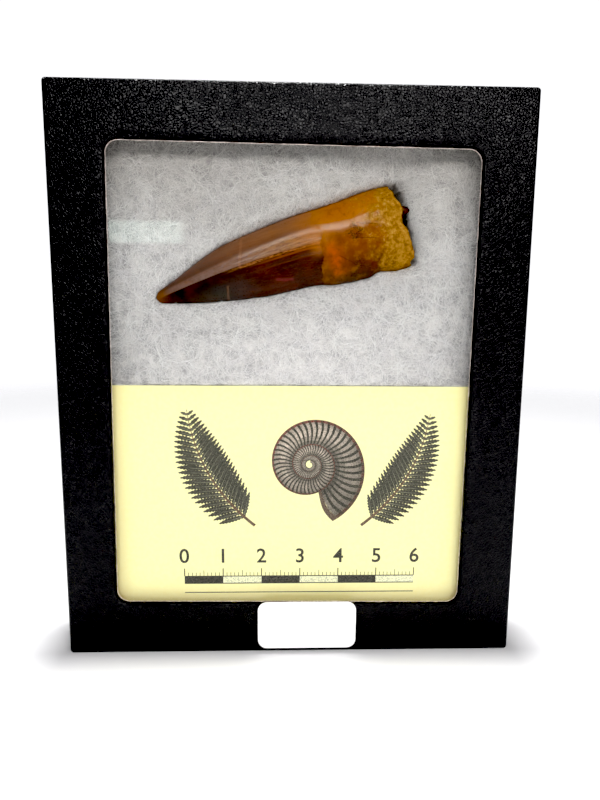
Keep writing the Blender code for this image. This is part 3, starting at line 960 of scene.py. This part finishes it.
def nick_depth(along, share, spot):
    """Small chips in the lower edge near the tip, and a chip in the collar."""
    low_edge = smooth_step(-0.82, -0.97, share)
    near_tip = smooth_step(1.6 * MM, 2.6 * MM, along) * smooth_step(6.4 * MM, 5.2 * MM, along)
    further = smooth_step(11.0 * MM, 12.0 * MM, along) * smooth_step(16.6 * MM, 15.4 * MM, along)
    chips = max(noise.noise(spot * 1300.0) + 0.15, 0.0) * (near_tip + further) * low_edge * 0.55 * MM
    from_chip = math.hypot(along - 42.6 * MM, (share + 0.88) * 9.0 * MM)
    collar = math.exp(-((from_chip / (1.0 * MM)) ** 2)) * 0.45 * MM
    return chips + collar


def to_case(point):
    """A point of the tooth's own axes in the case."""
    cosine = math.cos(TOOTH_TILT)
    sine = math.sin(TOOTH_TILT)
    x = TOOTH_TIP_X + point.x * cosine - point.z * sine
    z = TOOTH_TIP_Z + point.x * sine + point.z * cosine
    return Vector((x, FILL_FRONT + point.y, z))


def build_tooth(enamel):
    """Crown and root in one closed skin, with its place along and across kept for the finish."""
    first = 1.2 * MM
    stations = [0.03 * MM, 0.1 * MM, 0.22 * MM, 0.4 * MM, 0.64 * MM, 0.92 * MM]
    for step in range(TOOTH_STATIONS + 1):
        stations.append(first + (TOOTH_LENGTH - first) * step / TOOTH_STATIONS)
    mesh_data = bmesh.new()
    marks = []
    rings = []
    for along in stations:
        ring = []
        for line in range(TOOTH_LINES):
            point, share, groove, past_edge = tooth_point(along, 2.0 * line / TOOTH_LINES)
            ring.append(mesh_data.verts.new(point))
            marks.append((along / MM, point.z / MM, share, groove, past_edge, 0.0))
        rings.append(ring)
    rim = rings[-1]
    centre = sum((corner.co for corner in rim), Vector()) / len(rim)
    rim_marks = marks[-TOOTH_LINES:]
    shares = (0.97, 0.93, 0.88, 0.82, 0.76, 0.7, 0.63, 0.56, 0.49, 0.42, 0.34, 0.26, 0.18, 0.11, 0.05)
    for share in shares:
        ring = []
        for corner, rim_mark in zip(rim, rim_marks):
            place = centre.lerp(corner.co, share)
            drop = PULP_DEPTH * smooth_step(0.92, 0.5, share)
            drop += BASE_PITS * noise.noise(place * 330.0) * smooth_step(1.0, 0.85, share)
            drop += 0.3 * MM * noise.noise(place * 1200.0) * smooth_step(1.0, 0.85, share)
            from_spur = math.hypot(place.z - SPUR_ACROSS, place.y - centre.y + SPUR_FORWARD)
            spur = SPUR_HEIGHT * math.exp(-((from_spur / SPUR_RADIUS) ** 4))
            place.x += spur - drop
            ring.append(mesh_data.verts.new(place))
            marks.append((rim_mark[0], place.z / MM, rim_mark[2], 0.0, rim_mark[4], 1.0 - share))
        rings.append(ring)
    join_rings(mesh_data, rings, closed=False)
    for vertex in mesh_data.verts:
        vertex.co = to_case(vertex.co)
    piece = add_mesh("fossil_tooth", mesh_data, [enamel], 180.0)
    for index, name in enumerate(TOOTH_MARKS):
        layer = piece.data.attributes.new(name, "FLOAT", "POINT")
        layer.data.foreach_set("value", [values[index] for values in marks])
    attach(piece, "root")
    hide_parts("tooth")


# Wadding


def tooth_outline():
    """A tree of points (x, z) round the tooth as seen from the front."""
    upper = []
    lower = []
    for step in range(91):
        along = TOOTH_LENGTH * step / 90
        middle, half_height, _ = tooth_section(along)
        upper.append(to_case(Vector((along, 0.0, middle + half_height))))
        lower.append(to_case(Vector((along, 0.0, middle - half_height))))
    points = upper + [upper[-1].lerp(lower[-1], step / 24) for step in range(1, 24)] + lower[::-1]
    tree = kdtree.KDTree(len(points))
    for index, point in enumerate(points):
        tree.insert((point.x, 0.0, point.z), index)
    tree.balance()
    return tree


def wadding_depth(x, z, outline):
    """Depth of the wadding's surface behind its front plane: a soft shoulder and the tooth's bed."""
    across_x = x - TOOTH_TIP_X
    up_z = z - TOOTH_TIP_Z
    along = across_x * math.cos(TOOTH_TILT) + up_z * math.sin(TOOTH_TILT)
    across = up_z * math.cos(TOOTH_TILT) - across_x * math.sin(TOOTH_TILT)
    distance = outline.find((x, 0.0, z))[2]
    inside = min(max(along, 0.0), TOOTH_LENGTH)
    middle, half_height, half_thickness = tooth_section(inside)
    waist = read_curve(DEPTH_OF_AXIS, inside) * MM
    contact = waist * CONTACT_SHARE
    if 0.0 <= along <= TOOTH_LENGTH and abs(across - middle) < half_height:
        share = min(abs(across - middle) / half_height, 1.0)
        hollow = (half_thickness + BED_ROOM) * math.sqrt(max(1.0 - share * share, 0.0))
        rim = contact + SHOULDER_DEPTH
        return rim + (waist + hollow - rim) * smooth_step(0.0, 0.5 * MM, distance - HUG)
    shoulder = SHOULDER_DEPTH * (1.0 - smooth_step(0.0, SHOULDER_WIDTH, distance))
    shoulder += contact * math.exp(-distance / PILLOW_REACH)
    from_edge = min(WINDOW_WIDTH / 2 - abs(x), WINDOW_TOP - z)
    shoulder += EDGE_DROP * smooth_step(EDGE_WIDTH, -0.5 * MM, from_edge)
    lumps = noise.noise(Vector((x * 140.0, 2.0, z * 140.0)))
    lumps += 0.6 * noise.noise(Vector((x * 420.0, 7.0, z * 420.0)))
    return max(shoulder + LUMP_HEIGHT * (0.6 + lumps), 0.02 * MM)


def wadding_grid(low, high, cell, outline):
    """A grid of points over the wadding's front between two corners (x, z)."""
    columns = round((high[0] - low[0]) / cell)
    rows = round((high[1] - low[1]) / cell)
    grid = []
    for row in range(rows + 1):
        z = low[1] + (high[1] - low[1]) * row / rows
        line = []
        for column in range(columns + 1):
            x = low[0] + (high[0] - low[0]) * column / columns
            line.append(Vector((x, FILL_FRONT + wadding_depth(x, z, outline), z)))
        grid.append(line)
    return grid


def build_wadding(body, fibre):
    """The wadding: a soft closed block with the tooth's bed, and layers of loose fibres on it."""
    low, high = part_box("batting")
    card_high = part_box("info_card")[1]
    outline = tooth_outline()
    grid = wadding_grid((low.x, low.z), (high.x, high.z), WADDING_CELL, outline)
    behind_card = card_high.y + 0.25 * MM
    for line in grid:
        for point in line:
            under = smooth_step(card_high.z + 1.1 * MM, card_high.z + 0.35 * MM, point.z)
            point.y += (behind_card - point.y) * under
    mesh_data = bmesh.new()
    join_grid(mesh_data, grid)
    close_back(mesh_data, high.y)
    piece = add_mesh("wadding", mesh_data, [body], 60.0)
    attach(piece, "root")
    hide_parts("batting")
    build_fibres(outline, card_high.z + 0.2 * MM, fibre)


def fibre_tree(fibre):
    """Geometry Nodes: wavy fibres scattered over a surface and laid down on it."""
    tree = bpy.data.node_groups.new("loose_fibres", "GeometryNodeTree")
    face = tree.interface
    for direction in ("INPUT", "OUTPUT"):
        face.new_socket("Geometry", in_out=direction, socket_type="NodeSocketGeometry")
    sockets = {}
    for name in ("Density", "Length", "Radius", "Curl", "Lift", "Seed"):
        kind = "NodeSocketInt" if name == "Seed" else "NodeSocketFloat"
        sockets[name] = face.new_socket(name, in_out="INPUT", socket_type=kind).identifier

    def add(kind, inputs=None, **settings):
        made = tree.nodes.new(kind)
        for name, setting in settings.items():
            setattr(made, name, setting)
        for name, value in (inputs or {}).items():
            if isinstance(value, bpy.types.NodeSocket):
                tree.links.new(value, made.inputs[name])
            else:
                made.inputs[name].default_value = value
        return made.outputs

    def maths(operation, first, second, kind="ShaderNodeMath"):
        return add(kind, {0: first, 1: second}, operation=operation)[0]

    def vector(**parts):
        return add("ShaderNodeCombineXYZ", parts)[0]

    def random(low, high, seed):
        return add("FunctionNodeRandomValue", {2: low, 3: high, "Seed": seed}, data_type="FLOAT")[1]

    given = add("NodeGroupInput")
    surface = given["Geometry"]
    scatter = add(
        "GeometryNodeDistributePointsOnFaces",
        {"Mesh": surface, "Density": given["Density"], "Seed": given["Seed"]},
        distribute_method="RANDOM",
    )
    half = maths("MULTIPLY", given["Length"], 0.5)
    start = vector(X=maths("MULTIPLY", half, -1.0))
    strand = add(
        "GeometryNodeCurveQuadraticBezier",
        {"Resolution": 10, "Start": start, "Middle": vector(Z=half), "End": vector(X=half)},
    )
    angle = vector(Y=random(0.0, math.tau, given["Seed"]))
    size = random(0.35, 1.25, maths("ADD", given["Seed"], 17.0))
    laid = add(
        "GeometryNodeInstanceOnPoints",
        {"Points": scatter[0], "Instance": strand[0], "Rotation": angle, "Scale": size},
    )
    real = add("GeometryNodeRealizeInstances", {"Geometry": laid[0]})
    spot = add("GeometryNodeInputPosition")[0]
    curl = add("ShaderNodeTexNoise", {"Vector": spot, "Scale": 210.0, "Detail": 3.0})[1]
    centred = maths("SUBTRACT", curl, (0.5, 0.5, 0.5), "ShaderNodeVectorMath")
    offset = add("ShaderNodeVectorMath", {0: centred, "Scale": given["Curl"]}, operation="SCALE")[0]
    curled = add("GeometryNodeSetPosition", {"Geometry": real[0], "Offset": offset})

    # Each point is dropped from in front onto the surface, then raised a little off it
    place = add("GeometryNodeInputPosition")[0]
    split = add("ShaderNodeSeparateXYZ", {0: place})
    ray = add("GeometryNodeRaycast", {
        "Target Geometry": surface, "Source Position": vector(X=split["X"], Y=-0.05, Z=split["Z"]),
        "Ray Direction": (0.0, 1.0, 0.0), "Ray Length": 0.2,
    })
    flying = add("ShaderNodeTexNoise", {"Vector": place, "Scale": 330.0, "Detail": 1.0})[0]
    down = maths("MULTIPLY", maths("MULTIPLY", flying, given["Lift"]), -1.0)
    final = maths("ADD", ray["Hit Position"], vector(Y=down), "ShaderNodeVectorMath")
    settled = add(
        "GeometryNodeSetPosition",
        {"Geometry": curled[0], "Selection": ray["Is Hit"], "Position": final},
    )
    missed = add("FunctionNodeBooleanMath", {0: ray["Is Hit"]}, operation="NOT")[0]
    kept = add("GeometryNodeDeleteGeometry", {"Geometry": settled[0], "Selection": missed}, domain="POINT")
    ring = {"Resolution": 3, "Radius": given["Radius"]}
    profile = add("GeometryNodeCurvePrimitiveCircle", ring, mode="RADIUS")
    tube = add(
        "GeometryNodeCurveToMesh", {"Curve": kept[0], "Profile Curve": profile[0], "Fill Caps": True}
    )
    joined = add("GeometryNodeRealizeInstances", {"Geometry": tube[0]})
    painted = add("GeometryNodeSetMaterial", {"Geometry": joined[0], "Material": fibre})
    result = tree.nodes.new("NodeGroupOutput")
    tree.links.new(painted[0], result.inputs[0])
    return tree, sockets


def build_fibres(outline, bottom, fibre):
    """Layers of loose fibres over the part of the wadding that shows in the window."""
    low = (-FIBRES_ASIDE, bottom)
    high = (FIBRES_ASIDE, FIBRES_TOP)
    mesh_data = bmesh.new()
    join_grid(mesh_data, wadding_grid(low, high, FIBRE_BED_CELL, outline))
    bed = add_mesh("fibre_bed", mesh_data, [])
    area = sum(face.area for face in bed.data.polygons)
    tree, sockets = fibre_tree(fibre)
    for layer in range(FIBRE_LAYERS):
        modifier = bed.modifiers.new("fibres", "NODES")
        modifier.node_group = tree
        sizes = {
            "Density": FIBRES_PER_LAYER / area, "Length": FIBRE_LENGTH, "Radius": FIBRE_RADIUS,
            "Curl": FIBRE_CURL, "Lift": (0.1 + 0.12 * layer) * MM, "Seed": SEED + layer,
        }
        for name, value in sizes.items():
            modifier[sockets[name]] = value
        ready = bed.evaluated_get(bpy.context.evaluated_depsgraph_get())
        mesh = bpy.data.meshes.new_from_object(ready)
        bed.modifiers.remove(modifier)
        piece = bpy.data.objects.new(f"wadding_fibres_{layer + 1}", mesh)
        bpy.context.scene.collection.objects.link(piece)
        mesh.name = piece.name
        mesh.shade_smooth()
        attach(piece, "root")
    bpy.data.objects.remove(bed, do_unlink=True)


# Printed card


def shade_colour(colour, factor):
    """A screen colour made lighter or darker."""
    return tuple(min(max(value * factor, 0.0), 255.0) for value in colour)


def coiled_shell():
    """Polygons of a ribbed coiled shell: points in mm and a screen colour each."""
    shapes = []
    steps_per_rib = 4
    total = round(SHELL_TURNS * RIBS_PER_TURN)
    rim_colour = (118, 52, 42)
    rib_colour = (222, 200, 184)
    gap_colour = (34, 26, 22)

    def at(turn, share):
        outer = SHELL_RADIUS * SHELL_GROWTH ** -turn
        inner = SHELL_RADIUS * SHELL_GROWTH ** -(turn + 1.0)
        radius = inner + (outer - inner) * share
        sweep = turn - 0.012 * (1.0 - share) - 0.01 * math.sin(math.pi * share)
        angle = math.radians(-62.0) + math.tau * sweep
        return (
            SHELL_CENTRE[0] + radius * math.cos(angle), SHELL_CENTRE[1] + radius * math.sin(angle)
        )

    bands = ((0.0, 0.16, 0.55), (0.16, 0.36, 0.82), (0.36, 0.62, 1.0), (0.62, 0.8, 0.94), (0.8, 0.9, 0.8))
    for rib in range(total):
        first = rib / RIBS_PER_TURN
        step = 1.0 / RIBS_PER_TURN
        middle = at(first + step / 2, 0.5)
        facing = (SHELL_CENTRE[0] - middle[0]) * 0.5 + (middle[1] - SHELL_CENTRE[1]) * 0.85
        light = 0.84 + 0.2 * facing / SHELL_RADIUS * 1.6
        for part, (start, end) in enumerate(((0.0, 0.58), (0.58, 1.0))):
            turns = [
                first + step * (start + (end - start) * k / steps_per_rib)
                for k in range(steps_per_rib + 1)
            ]
            for low, high, tone in bands:
                points = [at(turn, high) for turn in turns] + [at(turn, low) for turn in reversed(turns)]
                base = rib_colour if part == 0 else gap_colour
                mottle = 0.92 + 0.16 * noise.noise(Vector((points[0][0] * 0.7, points[0][1] * 0.7, 2.0)))
                shapes.append((points, shade_colour(base, tone * light * mottle)))
            points = [at(turn, 1.0) for turn in turns] + [at(turn, 0.9) for turn in reversed(turns)]
            shapes.append((points, shade_colour(rim_colour, light * (1.0 if part == 0 else 0.6))))
    mouth = [at(0.0, share / 8) for share in range(9)]
    lip = [at(-0.016, share / 8) for share in range(8, -1, -1)]
    shapes.append((mouth + lip, (88, 66, 54)))
    return shapes


def fern_frond(base, tip, bend, leaflets, reach):
    """Polygons of a fern frond from base to tip, bent sideways, in mm with screen colours."""
    shapes = []
    start = Vector(base)
    end = Vector(tip)
    side = Vector((end.y - start.y, start.x - end.x)).normalized()
    control = (start + end) / 2 + side * bend

    def stem(share):
        return start * (1 - share) ** 2 + control * (2 * share * (1 - share)) + end * share ** 2

    def direction(share):
        return ((control - start) * (1 - share) + (end - control) * share).normalized()

    for index in range(leaflets):
        share = 0.1 + 0.9 * index / leaflets
        root = stem(share)
        forward = direction(share)
        length = reach * math.sin(math.pi * (0.12 + 0.86 * share) ** 0.8) ** 0.8 + 0.3
        width = 0.62 * length ** 0.5
        for hand in (1, -1):
            normal = Vector((-forward.y, forward.x)) * hand
            tilt = (normal * 0.82 + forward * 0.58).normalized()
            aside = Vector((-tilt.y, tilt.x))
            top = []
            bottom = []
            lobes = max(3, int(length / 0.8))
            for lobe in range(lobes * 2 + 1):
                reach_share = lobe / (lobes * 2)
                bulge = math.sin(math.pi * min(reach_share * 0.92 + 0.08, 1.0)) ** 0.7
                notch = 1.0 if lobe % 2 else 0.62
                droop = -forward * 0.1 * length * reach_share ** 2
                spine = root + tilt * length * reach_share + droop
                top.append(tuple(spine + aside * width * bulge * notch * 0.5))
                bottom.append(tuple(spine - aside * width * bulge * notch * 0.5))
            tone = 0.85 + 0.35 * noise.noise(Vector((root.x * 0.9, root.y * 0.9, hand * 1.0)))
            shapes.append((top + bottom[::-1], shade_colour((46, 44, 36), tone)))
            vein_end = root + tilt * length * 0.8 - forward * 0.064 * length
            vein = aside * 0.07
            points = [tuple(root + vein), tuple(vein_end), tuple(root - vein)]
            shapes.append((points, (150, 146, 124)))
    count = 24
    left = []
    right = []
    for index in range(count + 1):
        share = index / count
        across = Vector((-direction(share).y, direction(share).x)) * (0.32 * (1.0 - share) + 0.06)
        left.append(tuple(stem(share) + across))
        right.append(tuple(stem(share) - across))
    for index in range(count):
        points = [left[index], left[index + 1], right[index + 1], right[index]]
        shapes.append((points, (96, 66, 48)))
    return shapes


def number_shapes(text, x, z, size):
    """A plain number as polygons, centred at x and standing on z, in mm."""
    curve = bpy.data.curves.new("number", "FONT")
    curve.body = text
    curve.size = size
    curve.offset = size * 0.012
    curve.resolution_u = 5
    holder = bpy.data.objects.new("number", curve)
    bpy.context.scene.collection.objects.link(holder)
    mesh = holder.to_mesh()
    xs = [vertex.co.x for vertex in mesh.vertices]
    middle = (min(xs) + max(xs)) / 2
    shapes = []
    for face in mesh.polygons:
        points = [mesh.vertices[index].co for index in face.vertices]
        shapes.append(([(x + point.x - middle, z + point.y) for point in points], INK))
    holder.to_mesh_clear()
    bpy.data.objects.remove(holder, do_unlink=True)
    bpy.data.curves.remove(curve)
    return shapes


def box_shape(x0, z0, x1, z1, colour):
    return [(x0, z0), (x1, z0), (x1, z1), (x0, z1)], colour


def scale_bar():
    """A real-size scale in centimetres: chequered bar, millimetre ticks and plain numbers."""
    left = SCALE_MIDDLE - 30.0
    right = left + 60.0
    shapes = [box_shape(left, 17.4, right, BAR_TOP, INK)]
    for block in (1, 3, 5):
        start = left + 10.0 * block
        shapes.append(box_shape(start, 17.65, left + 10.0 * (block + 1), BAR_TOP - 0.25, (252, 246, 206)))
    for tick in range(61):
        tall = 2.0 if tick % 10 == 0 else 1.5 if tick % 5 == 0 else 0.9
        half = 0.13 if tick % 10 == 0 else 0.075
        x = left + tick
        shapes.append(box_shape(x - half, BAR_TOP, x + half, BAR_TOP + tall, INK))
    for number in range(7):
        shapes.extend(number_shapes(str(number), left + 10.0 * number, 23.2, 5.4))
    shapes.append(box_shape(left, 14.9, right, 15.15, (96, 92, 84)))
    return shapes


def build_card(card):
    """The card, with its print laid into the face of the mesh."""
    low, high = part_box("info_card")
    shapes = fern_frond((-9.5, 33.2), (-26.5, 63.5), -7.0, 24, 8.4)
    shapes += fern_frond((18.0, 33.2), (35.0, 62.5), 7.0, 24, 7.6)
    shapes += coiled_shell()
    shapes += scale_bar()
    outline = rounded_outline(high.x - low.x, high.z - low.z, 0.4 * MM, 4)
    middle = (low.z + high.z) / 2
    points = [Vector((x, z + middle)) for x, z in outline]
    faces = [list(range(len(points)))]
    colours = [CARD_COLOUR]
    for shape, colour in shapes:
        pairs = zip(shape, shape[1:] + shape[:1])
        area = sum(ax * bz - bx * az for (ax, az), (bx, bz) in pairs)
        if abs(area) < SMALLEST_SHAPE:
            continue
        if area < 0.0:
            shape = shape[::-1]
        first = len(points)
        points.extend(Vector((x * MM, z * MM)) for x, z in shape)
        faces.append(list(range(first, len(points))))
        colours.append(colour)
    corners, _, made, _, _, sources = geometry.delaunay_2d_cdt(points, [], faces, 1, 0.002 * MM)
    mesh_data = bmesh.new()
    ink = mesh_data.loops.layers.float_color.new("ink")
    cover = mesh_data.faces.layers.float.new("cover")
    front = [mesh_data.verts.new((corner.x, low.y, corner.y)) for corner in corners]
    for face, source in zip(made, sources):
        if len(set(face)) < 3:
            continue
        flat = mesh_data.faces.new([front[index] for index in face])
        top = max(source)
        flat[cover] = 1.0 if top > 0 else 0.0
        for loop in flat.loops:
            loop[ink] = paint(*colours[top])
    loose = [vertex for vertex in mesh_data.verts if not vertex.link_faces]
    bmesh.ops.delete(mesh_data, geom=loose, context="VERTS")
    for face in close_back(mesh_data, high.y):
        face[cover] = 0.0
    piece = add_mesh("printed_card", mesh_data, [card])
    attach(piece, "root")
    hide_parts("info_card")


# Stage


def build_stage():
    """A flat pale table, for the light to fall on."""
    mesh_data = bmesh.new()
    bmesh.ops.create_circle(mesh_data, cap_ends=True, segments=64, radius=FADE_TO)
    table = add_mesh("table", mesh_data, [make_floor_finish()])


def add_light(name, place, target, width, height, energy, colour, glossy=True):
    """A soft rectangular light that looks at a target."""
    data = bpy.data.lights.new(name, "AREA")
    data.shape = "RECTANGLE"
    data.size = width
    data.size_y = height
    data.energy = energy
    data.color = colour
    light = bpy.data.objects.new(name, data)
    light.location = place
    light.rotation_euler = (Vector(target) - Vector(place)).to_track_quat("-Z", "Y").to_euler()
    bpy.context.scene.collection.objects.link(light)
    light.visible_camera = False
    light.visible_glossy = glossy


def make_soft_box_finish():
    """Cloth of a large soft box: dim, brighter low in its middle, with one small bright pane."""
    finish = Finish("soft_box", (0.0, 0.0, 0.0, 1.0), 1.0, Specular_IOR_Level=0.0, Emission_Strength=1.0)
    place = finish.place()
    cloth = (finish.noise(place, 11.0, 3.0, 0.6) - 0.5) * 0.5
    x = finish.part_of(place, "X")
    z = finish.part_of(place, "Z")

    def far_from(middle_x, middle_z, reach_x, reach_z):
        return (((x - middle_x) / reach_x) ** 2.0 + ((z - middle_z) / reach_z) ** 2.0) ** 0.5

    wide = finish.fall(far_from(0.023, 0.075, 0.224, 0.276) + cloth * 0.3, 0.9, 1.06)
    low = finish.fall(far_from(0.028, 0.015, 0.2, 0.12) + cloth, 0.1, 1.3)
    pane_x = finish.fall(abs(x + 0.184) + cloth * 0.02, 0.046, 0.062)
    pane_z = finish.fall(abs(z - 0.195), 0.01, 0.017)
    bright = wide * 0.12 + low * 3.8
    glow = finish.vector("SCALE", {0: (1.0, 0.95, 0.94), "Scale": bright})
    pane = finish.vector("SCALE", {0: (0.8, 1.0, 0.9), "Scale": pane_x * pane_z * 5.2})
    finish.feed(Emission_Color=finish.vector("ADD", [glow, pane]))
    return finish.material


def build_soft_box():
    """A large soft box in front of the case, seen only in its reflections."""
    mesh_data = bmesh.new()
    mesh_data.faces.new([mesh_data.verts.new((x, SOFT_BOX_Y, z)) for x, z in SOFT_BOX_CORNERS])
    panel = add_mesh("soft_box", mesh_data, [make_soft_box_finish()])
    panel.visible_camera = False
    panel.visible_diffuse = False


def build_lights():
    """Soft studio light from above and in front, and a pale room that only the camera sees."""
    for light in LIGHTS:
        add_light(*light)
    world = bpy.data.worlds.new("room")
    world.use_nodes = True
    tree = world.node_tree
    dim = tree.nodes["Background"]
    dim.inputs["Color"].default_value = (0.93, 0.93, 1.0, 1.0)
    dim.inputs["Strength"].default_value = 0.1
    pale = tree.nodes.new("ShaderNodeBackground")
    pale.inputs["Color"].default_value = (0.93, 0.93, 0.95, 1.0)
    path = tree.nodes.new("ShaderNodeLightPath")
    chooser = tree.nodes.new("ShaderNodeMixShader")
    tree.links.new(path.outputs["Is Camera Ray"], chooser.inputs[0])
    tree.links.new(dim.outputs[0], chooser.inputs[1])
    tree.links.new(pale.outputs[0], chooser.inputs[2])
    tree.links.new(chooser.outputs[0], tree.nodes["World Output"].inputs["Surface"])
    bpy.context.scene.world = world


def set_tone():
    """Plain tone like the photograph's, with its deep blacks and bright whites."""
    view = bpy.context.scene.view_settings
    view.view_transform = "Standard"
    view.use_curve_mapping = True
    view.curve_mapping.black_level = (0.035, 0.035, 0.035)
    view.curve_mapping.white_level = (0.9, 0.9, 0.9)
    view.curve_mapping.update()


def build_camera():
    """The camera at the photograph's place and angle."""
    data = bpy.data.cameras.new("camera")
    data.lens = CAMERA_LENS
    data.sensor_width = 36.0
    data.clip_start = 0.01
    camera = bpy.data.objects.new("camera", data)
    camera.location = CAMERA_PLACE
    camera.rotation_euler = tuple(math.radians(angle) for angle in CAMERA_TURN)
    bpy.context.scene.collection.objects.link(camera)
    bpy.context.scene.camera = camera


def build_all():
    """Builds every piece round the frame, then the stage, the lights and the camera."""
    paper = make_paper_finish("black_paper", paint(7, 7, 10), 0.065 * MM, 0.3, 0.29)
    tray_paper = make_paper_finish("tray_paper", paint(17, 17, 18), 0.1 * MM, 0.55, 0.3)
    build_camera()
    build_lid(paper, make_cut_board_finish())
    build_tray(tray_paper)
    build_label(make_label_finish())
    build_card(make_card_finish())
    build_tooth(make_tooth_finish())
    build_wadding(make_wadding_finish(), make_fibre_finish())
    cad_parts["glass_pane"].material_slots[0].material = make_glass_finish()
    build_stage()
    build_lights()
    build_soft_box()
    set_tone()


build_all()
